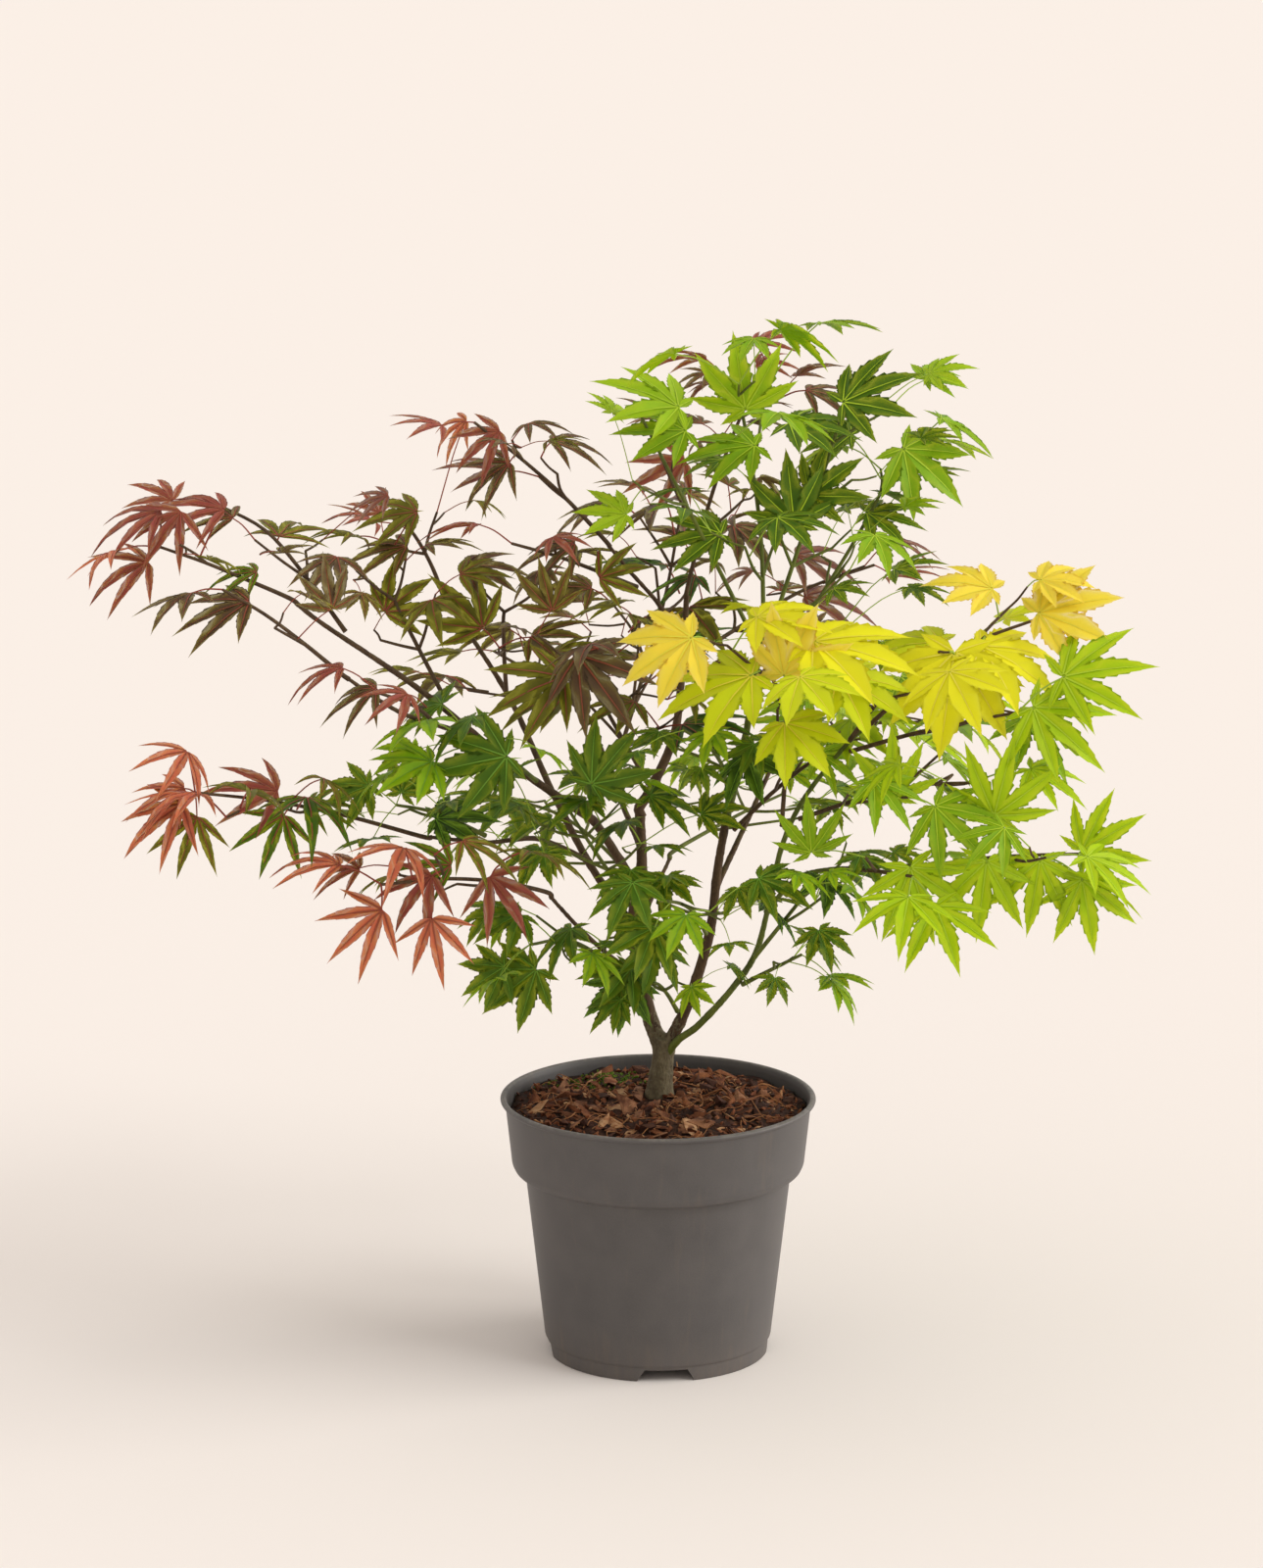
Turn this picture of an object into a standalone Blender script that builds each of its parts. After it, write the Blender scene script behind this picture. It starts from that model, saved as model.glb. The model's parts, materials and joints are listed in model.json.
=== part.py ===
"""A young three-coloured Japanese maple in its nursery pot.

Run with: blender --background --python part.py

Every size is in millimetres until a mesh is made, and the frame is +Z up, with its origin at
the centre of the pot's underside. The plant is grown: limbs are tapering tubes along short
routes, and each foliage mass is one stem that branches by a seeded rule, with leaves on it.
"""

import math
import random
from dataclasses import dataclass, replace

import bmesh
import bpy
from mathutils import Matrix, Vector
from mathutils.bvhtree import BVHTree

MM = 0.001
UP = Vector((0.0, 0.0, 1.0))
CLEAR = 0.3  # gap between neighbouring solids

# Pot: a thin-walled nursery pot with a collar.
RIM_RADIUS = 95.0
POT_HEIGHT = 158.5
WALL = 1.6
COLLAR_TOP_RADIUS = 92.0
COLLAR_FOOT_RADIUS = 88.0
COLLAR_FOOT_HEIGHT = 118.0
COLLAR_LIP_RADIUS = 86.3
COLLAR_LIP_HEIGHT = 114.3
BODY_TOP_RADIUS = 80.0
BODY_TOP_HEIGHT = 111.5
BODY_FOOT_RADIUS = 68.5
FOOT_HEIGHT = 10.0
FOOT_RADIUS = 67.2
BASE_THICKNESS = 2.0
CHANNEL_HEIGHT = 6.0
CHANNEL_INNER = 34.0
CHANNEL_OUTER = 62.0
POT_STEPS = 28
DRAIN_NOTCHES = 4
NOTCH_FOOT_WIDTH = 36.0
NOTCH_TOP_WIDTH = 25.6
NOTCH_HEIGHT = 7.5
NOTCH_TURN = math.radians(4.0)
NOTCH_REACH = 19.2  # of the cutter, across the foot ring
NOTCH_INSET = 3.0  # of its middle, from the foot's outside
DRAIN_HOLE_RADIUS = 4.0
DRAIN_HOLE_SIDES = 12
DRAIN_RING_RADIUS = 48.0
LIP_HEIGHT = 3.6  # of the rounded lip
LIP_INSET = 3.6  # from the rim to its inner edge
PLASTIC = (0.115, 0.098, 0.085)
PLASTIC_ROUGHNESS = 0.55

# Soil: a low mound, whose flat top carries the trunk.
SOIL_TOP = 154.0
SOIL_TOP_RADIUS = 27.0
SOIL_EDGE = 148.5
SOIL_SWELL = 1.2  # of its slope
SOIL_GAP = 0.5  # between the soil and the wall
COMPOST = (0.110, 0.050, 0.026)
COMPOST_ROUGHNESS = 0.95

# Limbs.
LIMB_COLLAR = 4.0  # a limb starts straight on from its parent's tip
LIMB_SWELLING = 0.16  # of its radius, at its foot
SWELLING_FADE = 9.0
LONG_ROUTE = 3  # a longer route isn't divided further
TRUNK_SIDES = 12
THICK_SIDES = 8
THIN_SIDES = 6
THIN_LIMB = 3.0  # thinner limbs have six sides
NEAR = 6.0  # a limb this near another is cut clear of it
STEEP = 0.2  # a steeper line takes +X for its level side
BARK_ROUGHNESS = 0.75

# Foliage rule. A pair of numbers is the range of a chance, and a share is of the whole length.
INTERNODE = 34.0
STEM_COLLAR = 4.5  # a stem starts straight on from its limb
STEM_SHARES = (0.36, 0.68)  # where its inner knots lie
UPRIGHT = 0.75  # a stem that rises more steeply turns each pair of shoots square to the last
NODE_TURN = (-25.0, 25.0)
SHOOT_REACH = (0.75, 1.15)
SHOOT_FOOT = 1.15  # a shoot's reach at the stem's foot
SHOOT_LOSS = 0.6  # and how much of it is lost towards the tip
SHOOT_RISE = (-0.05, 0.25)
SHOOT_NODES = ((0.55, 0.4), (1.0, 1.0))  # (share, age) of its pairs of leaves
STEM_END_AGES = (0.3, 0.9)  # of the pairs half a node from the stem's tip, and on it
PAIR_TURN = (-30.0, 30.0)
END_TURN = (60.0, 120.0)
PAIR_SPREAD = (0.9, 1.35)
END_LEAN = 0.5
END_AGE = 0.5
STALK_LIFT = (0.5, 1.5)
STALK_REACH = (0.30, 0.52)
SWAY_ASIDE = (-0.35, 0.35)
SWAY_FORWARD = (-0.45, 0.25)
DROOP_CHANCE = (-26.0, 26.0)
ROLL_CHANCE = (-28.0, 28.0)
LEAF_CHANCE = (0.84, 1.14)
AGE_LOSS = 0.25  # of a leaf's length, at its shoot's tip
FORK_ANGLE = math.radians(48.0)
STEM_RADII = (2.0, 1.2)
SHOOT_RADII = (1.4, 1.1)
STALK_RADII = (0.5, 0.55)
TIP_INSET = 0.8  # the last leaves are rooted this far from a twig's tip
ROOT_SINK = 0.4  # of the twig's radius
LEAF_THICKNESS = 0.024  # of its length
LOBES = ((0.0, 1.0), (43.0, 0.86), (98.0, 0.60))  # degrees from the middle lobe, reach
LEAF_SAG = 0.20
BLADE_MIDDLE = 0.35
BLADE_PEAK = 0.05  # where the blade is thickest
STALK_END = 0.04  # the stalk ends this far before the joint
LAYER = 0.075  # two blades nearer than this share of both their lengths lie in one layer
SPACING = 0.44  # and then their middles are this far apart
LEVEL_ANGLE = math.radians(0.5)  # flatter edges are dissolved
MARGIN = 0.45  # room round a new leaf or twig
SUNK = 2.2  # a stalk's probe starts this far out of its twig's axis
REROLLS = (0.0, 26.0, -26.0, 50.0)  # degrees that a leaf is turned for another try
LEAF_ROUGHNESS = 0.6

BROWN_BARK = (0.165, 0.105, 0.060)
GREEN_BARK = (0.200, 0.230, 0.070)
GREEN = (0.055, 0.180, 0.025)
LIME = (0.300, 0.560, 0.030)
GOLD = (0.680, 0.640, 0.020)
BRONZE = (0.120, 0.045, 0.025)
PURPLE = (0.130, 0.035, 0.035)
RED = (0.420, 0.085, 0.045)


@dataclass(frozen=True)
class Limb:
    """One tapering limb: it leaves its parent at a fraction of the parent's length."""

    name: str
    parent: str
    at: float
    route: tuple[tuple[float, float, float], ...]
    foot_radius: float
    tip_radius: float
    bark: tuple[float, float, float] = BROWN_BARK


@dataclass(frozen=True)
class Spray:
    """A foliage mass: its stem's route from a limb, its side shoots and its leaves."""

    name: str
    parent: str
    at: float
    route: tuple[tuple[float, float, float], ...]
    shoot: float  # longest side shoot
    leaf: float  # length of a leaf's middle lobe
    droop: float  # degrees that a blade hangs below the level
    lift: float  # how steeply its stalk rises
    notch: float  # how far in the lobes are cut, as a share of their reach
    tint: tuple[float, float, float]
    seed: int


@dataclass(frozen=True)
class Twig:
    """A three-sided twig along its points, from its foot's radius to its tip's."""

    points: tuple[Vector, ...]
    foot_radius: float
    tip_radius: float


@dataclass(frozen=True)
class Leaf:
    """A lobed blade on a stalk: where it is rooted, where the blade starts and how it lies."""

    host: int
    root: Vector
    joint: Vector
    axis: Vector
    normal: Vector
    length: float
    notch: float


TRUNK_ROUTE = (
    (1.0, 12.0, SOIL_TOP + CLEAR),
    (1.0, 12.0, 158.0),
    (2.5, 12.0, 174.0),
    (4.5, 12.0, 191.0),
)
TRUNK_RADII = (10.5, 8.0, 7.2, 8.2)

LIMBS = (
    Limb(
        "left_stem_lower", parent="trunk", at=0.80,
        route=((-4, 14, 200), (-11, 17, 232), (-15, 20, 261), (-10, 23, 292), (-11, 28, 326)),
        foot_radius=5.6, tip_radius=4.3,
    ),
    Limb(
        "left_stem_upper", parent="left_stem_lower", at=1.0,
        route=((-3, 30, 343), (10, 34, 374), (14, 38, 412), (17, 42, 456)),
        foot_radius=4.0, tip_radius=2.4,
    ),
    Limb(
        "middle_stem_lower", parent="trunk", at=0.80,
        route=((12, 7, 200), (21, 2, 224), (31, -4, 262), (35, -8, 299), (40, -8, 330)),
        foot_radius=4.5, tip_radius=3.5,
    ),
    Limb(
        "middle_stem_upper", parent="middle_stem_lower", at=1.0,
        route=((49, -7, 368), (55, -5, 402), (61, -2, 440)),
        foot_radius=3.3, tip_radius=2.3, bark=GREEN_BARK,
    ),
    Limb(
        "right_stem_lower", parent="trunk", at=0.62,
        route=((12, 3, 192), (24, -4, 203), (44, -16, 229), (58, -25, 254), (66, -35, 290)),
        foot_radius=2.9, tip_radius=2.3, bark=GREEN_BARK,
    ),
    Limb(
        "right_stem_upper", parent="right_stem_lower", at=1.0,
        route=((72, -44, 322), (84, -52, 352), (108, -60, 386), (124, -62, 401)),
        foot_radius=2.2, tip_radius=1.7, bark=GREEN_BARK,
    ),
    Limb(
        "long_left_bough", parent="left_stem_lower", at=0.68,
        route=(
            (-36, 10, 322), (-48, 5, 333), (-90, -6, 366), (-141, -16, 411), (-196, -24, 451),
            (-212, -25, 464),
        ),
        foot_radius=3.6, tip_radius=1.9,
    ),
    Limb(
        "lower_left_bough", parent="long_left_bough", at=0.52,
        route=((-150, -34, 400), (-182, -46, 424)),
        foot_radius=2.0, tip_radius=1.6,
    ),
    Limb(
        "steep_left_bough", parent="left_stem_lower", at=0.52,
        route=((-40, 31, 292), (-63, 44, 334), (-87, 60, 385), (-111, 74, 422), (-126, 80, 442)),
        foot_radius=3.2, tip_radius=1.8,
    ),
    Limb(
        "low_left_bough", parent="steep_left_bough", at=0.22,
        route=((-72, 16, 313), (-100, -6, 316), (-136, -22, 323)),
        foot_radius=2.2, tip_radius=1.6,
    ),
    Limb(
        "low_front_bough", parent="left_stem_lower", at=0.30,
        route=((-28, 0, 244), (-46, -20, 266), (-64, -42, 292)),
        foot_radius=2.1, tip_radius=1.6,
    ),
    Limb(
        "top_left_bough", parent="left_stem_upper", at=0.80,
        route=((-2, 34, 455), (-18, 29, 474), (-30, 25, 490)),
        foot_radius=1.9, tip_radius=1.5,
    ),
    Limb(
        "right_tier_bough", parent="right_stem_lower", at=0.92,
        route=((84, -48, 306), (120, -70, 316), (162, -88, 322)),
        foot_radius=1.9, tip_radius=1.5, bark=GREEN_BARK,
    ),
    Limb(
        "back_left_bough", parent="left_stem_lower", at=0.86,
        route=((-24, 62, 330), (-40, 96, 366)),
        foot_radius=2.4, tip_radius=1.8,
    ),
    Limb(
        "back_right_bough", parent="middle_stem_lower", at=0.72,
        route=((58, 34, 330), (78, 74, 366)),
        foot_radius=2.3, tip_radius=1.7,
    ),
    Limb(
        "back_low_bough", parent="left_stem_lower", at=0.40,
        route=((-6, 50, 262), (8, 84, 286)),
        foot_radius=2.1, tip_radius=1.6,
    ),
)

SPRAYS = (
    # Bronze and red, on the left.
    Spray(
        "far_left_spray", parent="long_left_bough", at=1.0,
        route=((-258, -28, 486), (-290, -30, 498)),
        shoot=48, leaf=52, droop=8, lift=0.35, notch=0.38, tint=RED, seed=11,
    ),
    Spray(
        "far_left_upper_spray", parent="long_left_bough", at=0.84,
        route=((-226, 0, 498), (-262, 8, 518)),
        shoot=42, leaf=52, droop=6, lift=0.35, notch=0.38, tint=PURPLE, seed=12,
    ),
    Spray(
        "left_lower_spray", parent="lower_left_bough", at=1.0,
        route=((-222, -52, 458), (-252, -58, 478)),
        shoot=42, leaf=50, droop=8, lift=0.35, notch=0.38, tint=BRONZE, seed=13,
    ),
    Spray(
        "left_hanging_spray", parent="lower_left_bough", at=0.30,
        route=((-142, -60, 410), (-162, -72, 420)),
        shoot=28, leaf=50, droop=12, lift=0.35, notch=0.38, tint=PURPLE, seed=14,
    ),
    Spray(
        "left_inner_spray", parent="long_left_bough", at=0.58,
        route=((-156, 14, 458), (-166, 28, 486)),
        shoot=42, leaf=52, droop=10, lift=0.35, notch=0.42, tint=BRONZE, seed=15,
    ),
    Spray(
        "upright_left_spray", parent="steep_left_bough", at=1.0,
        route=((-142, 84, 478), (-162, 86, 502)),
        shoot=32, leaf=48, droop=8, lift=0.35, notch=0.38, tint=RED, seed=16,
    ),
    Spray(
        "steep_left_spray", parent="steep_left_bough", at=0.72,
        route=((-92, 34, 446), (-84, 16, 470)),
        shoot=46, leaf=56, droop=12, lift=0.35, notch=0.44, tint=BRONZE, seed=17,
    ),
    Spray(
        "bronze_centre_spray", parent="left_stem_upper", at=0.12,
        route=((-34, -24, 406), (-52, -62, 448)),
        shoot=55, leaf=62, droop=16, lift=0.35, notch=0.46, tint=BRONZE, seed=18,
    ),
    Spray(
        "top_left_spray", parent="top_left_bough", at=1.0,
        route=((-66, 16, 530), (-108, 4, 566)),
        shoot=42, leaf=50, droop=6, lift=0.30, notch=0.38, tint=PURPLE, seed=19,
    ),
    Spray(
        "top_left_low_spray", parent="top_left_bough", at=0.5,
        route=((-54, -4, 486), (-86, -18, 498)),
        shoot=38, leaf=52, droop=10, lift=0.35, notch=0.42, tint=PURPLE, seed=20,
    ),
    Spray(
        "low_left_spray", parent="low_left_bough", at=1.0,
        route=((-206, -42, 346), (-270, -58, 358)),
        shoot=44, leaf=60, droop=14, lift=0.85, notch=0.42, tint=RED, seed=21,
    ),
    Spray(
        "low_left_inner_spray", parent="low_left_bough", at=0.6,
        route=((-130, -26, 338), (-154, -38, 346)),
        shoot=30, leaf=52, droop=12, lift=0.35, notch=0.46, tint=GREEN, seed=22,
    ),
    Spray(
        "low_red_spray", parent="low_front_bough", at=1.0,
        route=((-110, -80, 312), (-160, -104, 314)),
        shoot=46, leaf=60, droop=18, lift=0.35, notch=0.42, tint=RED, seed=23,
    ),
    # Gold and lime, on the right.
    Spray(
        "gold_front_spray", parent="right_stem_upper", at=0.25,
        route=((70, -104, 424), (38, -134, 460)),
        shoot=58, leaf=68, droop=14, lift=0.35, notch=0.54, tint=GOLD, seed=38,
    ),
    Spray(
        "gold_right_spray", parent="right_stem_upper", at=1.0,
        route=((170, -66, 442), (216, -68, 462)),
        shoot=56, leaf=66, droop=8, lift=0.35, notch=0.54, tint=GOLD, seed=39,
    ),
    Spray(
        "gold_middle_spray", parent="right_stem_upper", at=0.84,
        route=((126, -92, 420), (140, -126, 444)),
        shoot=40, leaf=62, droop=12, lift=0.35, notch=0.54, tint=GOLD, seed=51,
    ),
    Spray(
        "lime_upper_spray", parent="right_stem_upper", at=0.78,
        route=((156, -88, 402), (204, -108, 416)),
        shoot=54, leaf=62, droop=18, lift=0.35, notch=0.52, tint=LIME, seed=40,
    ),
    Spray(
        "lime_middle_spray", parent="right_stem_upper", at=0.40,
        route=((138, -92, 368), (188, -112, 376)),
        shoot=52, leaf=62, droop=24, lift=0.35, notch=0.52, tint=LIME, seed=41,
    ),
    Spray(
        "tier_spray", parent="right_tier_bough", at=1.0,
        route=((196, -102, 330), (240, -112, 334)),
        shoot=50, leaf=60, droop=26, lift=0.35, notch=0.50, tint=LIME, seed=42,
    ),
    Spray(
        "tier_inner_spray", parent="right_tier_bough", at=0.5,
        route=((126, -104, 322), (144, -134, 326)),
        shoot=38, leaf=58, droop=26, lift=0.35, notch=0.50, tint=LIME, seed=43,
    ),
    # Green, in the middle and at the top.
    Spray(
        "top_main_spray", parent="middle_stem_upper", at=1.0,
        route=((58, -4, 520), (42, -12, 604)),
        shoot=52, leaf=60, droop=6, lift=0.35, notch=0.50, tint=GREEN, seed=31,
    ),
    Spray(
        "top_left_green_spray", parent="middle_stem_upper", at=0.92,
        route=((22, -26, 510), (-12, -46, 580)),
        shoot=44, leaf=56, droop=4, lift=0.35, notch=0.50, tint=GREEN, seed=32,
    ),
    Spray(
        "top_right_spray", parent="middle_stem_upper", at=0.80,
        route=((92, 10, 520), (114, 20, 588)),
        shoot=46, leaf=56, droop=8, lift=0.35, notch=0.50, tint=GREEN, seed=33,
    ),
    Spray(
        "far_top_right_spray", parent="middle_stem_upper", at=0.62,
        route=((116, 24, 492), (146, 32, 550)),
        shoot=28, leaf=54, droop=12, lift=0.35, notch=0.50, tint=GREEN, seed=34,
    ),
    Spray(
        "top_front_spray", parent="middle_stem_upper", at=0.48,
        route=((76, -50, 470), (90, -80, 506)),
        shoot=50, leaf=58, droop=16, lift=0.35, notch=0.50, tint=GREEN, seed=35,
    ),
    Spray(
        "low_green_spray", parent="left_stem_lower", at=0.22,
        route=((-46, -14, 256), (-76, -40, 262)),
        shoot=42, leaf=52, droop=24, lift=0.35, notch=0.50, tint=GREEN, seed=24,
    ),
    Spray(
        "foot_spray", parent="middle_stem_lower", at=0.16,
        route=((2, -24, 232), (-8, -42, 240)),
        shoot=26, leaf=46, droop=30, lift=0.35, notch=0.50, tint=GREEN, seed=25,
    ),
    Spray(
        "centre_left_spray", parent="left_stem_lower", at=0.60,
        route=((-38, -34, 318), (-56, -68, 356)),
        shoot=50, leaf=56, droop=22, lift=0.35, notch=0.50, tint=GREEN, seed=26,
    ),
    Spray(
        "left_green_spray", parent="long_left_bough", at=0.34,
        route=((-92, -44, 378), (-112, -74, 392)),
        shoot=34, leaf=54, droop=18, lift=0.35, notch=0.50, tint=GREEN, seed=27,
    ),
    Spray(
        "centre_front_spray", parent="middle_stem_lower", at=0.52,
        route=((18, -62, 290), (0, -110, 306)),
        shoot=52, leaf=52, droop=24, lift=0.35, notch=0.50, tint=GREEN, seed=28,
    ),
    Spray(
        "centre_right_spray", parent="right_stem_lower", at=0.62,
        route=((78, -68, 290), (94, -104, 322)),
        shoot=50, leaf=50, droop=24, lift=0.35, notch=0.50, tint=GREEN, seed=29,
    ),
    Spray(
        "centre_high_spray", parent="middle_stem_upper", at=0.10,
        route=((34, -58, 380), (14, -100, 404)),
        shoot=46, leaf=50, droop=22, lift=0.35, notch=0.50, tint=GREEN, seed=30,
    ),
    Spray(
        "upper_right_spray", parent="middle_stem_lower", at=0.92,
        route=((86, -22, 366), (122, -34, 384)),
        shoot=46, leaf=54, droop=18, lift=0.35, notch=0.50, tint=LIME, seed=50,
    ),
    Spray(
        "low_right_spray", parent="right_stem_lower", at=0.50,
        route=((68, -34, 246), (84, -48, 258)),
        shoot=28, leaf=46, droop=26, lift=0.35, notch=0.50, tint=GREEN, seed=44,
    ),
    # The back of the crown.
    Spray(
        "purple_top_spray", parent="left_stem_upper", at=1.0,
        route=((36, 50, 530), (64, 62, 594)),
        shoot=40, leaf=48, droop=6, lift=0.35, notch=0.38, tint=PURPLE, seed=36,
    ),
    Spray(
        "purple_right_spray", parent="left_stem_upper", at=0.70,
        route=((84, 92, 448), (132, 112, 462)),
        shoot=42, leaf=52, droop=4, lift=0.35, notch=0.38, tint=PURPLE, seed=37,
    ),
    Spray(
        "back_left_spray", parent="back_left_bough", at=1.0,
        route=((-70, 140, 384), (-102, 176, 396)),
        shoot=66, leaf=58, droop=12, lift=0.35, notch=0.42, tint=BRONZE, seed=45,
    ),
    Spray(
        "back_top_spray", parent="back_left_bough", at=0.6,
        route=((2, 120, 430), (14, 148, 486)),
        shoot=60, leaf=58, droop=12, lift=0.35, notch=0.46, tint=BRONZE, seed=46,
    ),
    Spray(
        "back_right_spray", parent="back_right_bough", at=1.0,
        route=((118, 124, 356), (158, 160, 362)),
        shoot=64, leaf=60, droop=20, lift=0.35, notch=0.52, tint=LIME, seed=47,
    ),
    Spray(
        "back_low_right_spray", parent="back_low_bough", at=1.0,
        route=((46, 128, 300), (78, 168, 306)),
        shoot=62, leaf=58, droop=22, lift=0.35, notch=0.50, tint=GREEN, seed=48,
    ),
    Spray(
        "back_low_left_spray", parent="back_low_bough", at=0.55,
        route=((-48, 106, 300), (-92, 140, 310)),
        shoot=62, leaf=58, droop=18, lift=0.35, notch=0.46, tint=GREEN, seed=49,
    ),
)


def smooth(route, steps):
    """Points of the Catmull-Rom curve through a route, ends included."""
    points = [Vector(point) for point in route]
    padded = [2 * points[0] - points[1], *points, 2 * points[-1] - points[-2]]
    curve = []
    for a, b, c, d in zip(padded, padded[1:], padded[2:], padded[3:]):
        for step in range(steps):
            t = step / steps
            bend = (c - a) * t + (2 * a - 5 * b + 4 * c - d) * t**2 + (3 * b - a - 3 * c + d) * t**3
            curve.append(b + 0.5 * bend)
    return curve + [points[-1]]


def place_on(points, share):
    """(point, tangent) at a share of the length of a line of points."""
    spans = [(b - a).length for a, b in zip(points, points[1:])]
    left = share * sum(spans)
    for a, b, span in zip(points, points[1:], spans):
        if left <= span or b is points[-1]:
            return a.lerp(b, min(left / span, 1.0)), (b - a).normalized()
        left -= span


def length_of(points):
    return sum((b - a).length for a, b in zip(points, points[1:]))


def distance_to(point, line):
    """Shortest distance from a point to a line of points."""
    best = math.inf
    for a, b in zip(line, line[1:]):
        along = max(0.0, min(1.0, (point - a).dot(b - a) / (b - a).length_squared))
        best = min(best, (point - a.lerp(b, along)).length)
    return best


def level_side(tangent):
    """The level direction square to a tangent, or +X for an upright one."""
    side = tangent.cross(UP)
    return side.normalized() if side.length > STEEP else Vector((1.0, 0.0, 0.0))


# The growing rule.


def stem_knots(line):
    """The few knots of a stem, from the line that it follows."""
    shares = (0.0, STEM_COLLAR / length_of(line), *STEM_SHARES, 1.0)
    return tuple(place_on(line, share)[0] for share in shares)


def grow_leaf(spray, host, root, out, age, rng):
    """A leaf rooted at a node, with its stalk going out and up and its blade hanging over."""
    lift = spray.lift * rng.uniform(*STALK_LIFT)
    stalk = (out + UP * lift).normalized() * spray.leaf * rng.uniform(*STALK_REACH)
    sway = Vector((rng.uniform(*SWAY_ASIDE), rng.uniform(*SWAY_FORWARD), 0.0))
    level = Vector((out.x, out.y, 0.0)) + sway
    droop = math.radians(spray.droop + rng.uniform(*DROOP_CHANCE))
    axis = level.normalized() * math.cos(droop) - UP * math.sin(droop)
    roll = Matrix.Rotation(math.radians(rng.uniform(*ROLL_CHANCE)), 3, axis)
    normal = roll @ (UP - axis * axis.dot(UP)).normalized()
    length = spray.leaf * rng.uniform(*LEAF_CHANCE) * (1.0 - AGE_LOSS * age)
    return Leaf(host, root, root + stalk, axis, normal, length, spray.notch)


def grow_pair(spray, host, twig, share, turn, age, rng):
    """The opposite pair of leaves at one node of a twig; the roots sink into its ring there."""
    root, tangent = place_on(twig.points, share)
    radius = twig.foot_radius + (twig.tip_radius - twig.foot_radius) * share
    root = root - tangent * max(radius * ROOT_SINK, TIP_INSET - (twig.points[-1] - root).length)
    side = Matrix.Rotation(math.radians(turn), 3, tangent) @ level_side(tangent)
    leaves = []
    for hand in (-1, 1):
        spread = FORK_ANGLE * rng.uniform(*PAIR_SPREAD)
        out = tangent * math.cos(spread) + side * hand * math.sin(spread)
        leaves.append(grow_leaf(spray, host, root, out, age, rng))
    return leaves


def grow(spray, stem):
    """(twigs, leaves) of a mass: side shoots in opposite pairs, a leaf pair at every node."""
    rng = random.Random(spray.seed)
    nodes = max(2, round(length_of(stem) / INTERNODE))
    twigs = [Twig(stem, *STEM_RADII)]
    leaves = []
    upright = (stem[-1] - stem[0]).normalized().z > UPRIGHT
    for node in range(1, nodes):
        share = node / nodes
        root, tangent = place_on(stem, share)
        turn = 90.0 * node * upright + rng.uniform(*NODE_TURN)
        side = Matrix.Rotation(math.radians(turn), 3, tangent) @ level_side(tangent)
        for hand in (-1, 1):
            reach = spray.shoot * rng.uniform(*SHOOT_REACH) * (SHOOT_FOOT - SHOOT_LOSS * share)
            out = tangent * math.cos(FORK_ANGLE) + side * hand * math.sin(FORK_ANGLE)
            tip = root + out * reach + UP * reach * rng.uniform(*SHOOT_RISE)
            host = len(twigs)
            twigs.append(Twig((root, tip), *SHOOT_RADII))
            for place, age in SHOOT_NODES:
                turn = rng.uniform(*PAIR_TURN)
                leaves += grow_pair(spray, host, twigs[host], place, turn, age, rng)
    for share, age in zip((1.0 - 0.5 / nodes, 1.0), STEM_END_AGES):
        leaves += grow_pair(spray, 0, twigs[0], share, rng.uniform(*END_TURN), age, rng)
    root, tangent = place_on(twigs[0].points, 1.0)
    out = tangent + level_side(tangent) * END_LEAN
    leaves.append(grow_leaf(spray, 0, root - tangent * TIP_INSET, out, END_AGE, rng))
    leaves.sort(key=lambda leaf: -(leaf.joint - stem[0]).length)
    return twigs, leaves


def crowded(leaf, others):
    """Whether a blade would lie in one layer with another, and too near it."""
    middle = leaf.joint + leaf.axis * leaf.length * BLADE_MIDDLE
    for other in others:
        between = other.joint + other.axis * other.length * BLADE_MIDDLE - middle
        both = leaf.length + other.length
        if between.length > SPACING * both:
            continue
        height = abs(between.dot((leaf.normal + other.normal).normalized()))
        if height < LAYER * both:
            return True
    return False


# Meshes.


def material(name, colour, roughness):
    """A plain Principled material."""
    made = bpy.data.materials.new(name)
    made.use_nodes = True
    shader = made.node_tree.nodes["Principled BSDF"]
    shader.inputs["Base Color"].default_value = (*colour, 1.0)
    shader.inputs["Roughness"].default_value = roughness
    return made


def add_object(name, mesh, collection, finish=None):
    """A new object for a mesh, linked to a collection."""
    made = bpy.data.objects.new(name, mesh)
    collection.objects.link(made)
    if finish:
        mesh.materials.append(finish)
    return made


def as_mesh(obj, name):
    """The evaluated mesh of an object, with its seams welded; the object is removed."""
    mesh = bpy.data.meshes.new_from_object(obj.evaluated_get(bpy.context.evaluated_depsgraph_get()))
    mesh.name = name
    mesh.transform(obj.matrix_world)
    bpy.data.objects.remove(obj)
    form = bmesh.new()
    form.from_mesh(mesh)
    bmesh.ops.remove_doubles(form, verts=form.verts, dist=1e-7)
    bmesh.ops.recalc_face_normals(form, faces=form.faces)
    form.to_mesh(mesh)
    form.free()
    return mesh


def tube(name, points, radii, sides, collection):
    """A closed tapering tube along points; sides is 3, 6, 8 or 12."""
    curve = bpy.data.curves.new(name, "CURVE")
    curve.dimensions = "3D"
    curve.use_fill_caps = True
    if sides == 3:
        curve.bevel_mode = "OBJECT"
        curve.bevel_object = bpy.data.objects["triangle"]
    else:
        curve.bevel_depth = MM
        curve.bevel_resolution = sides // 2 - 2
    spline = curve.splines.new("POLY")
    spline.points.add(len(points) - 1)
    for knot, point, radius in zip(spline.points, points, radii):
        knot.co = (*(point * MM), 1.0)
        knot.radius = radius
    made = add_object(name, curve, collection)
    bpy.context.view_layer.update()
    return add_object(name, as_mesh(made, name), collection)


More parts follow.
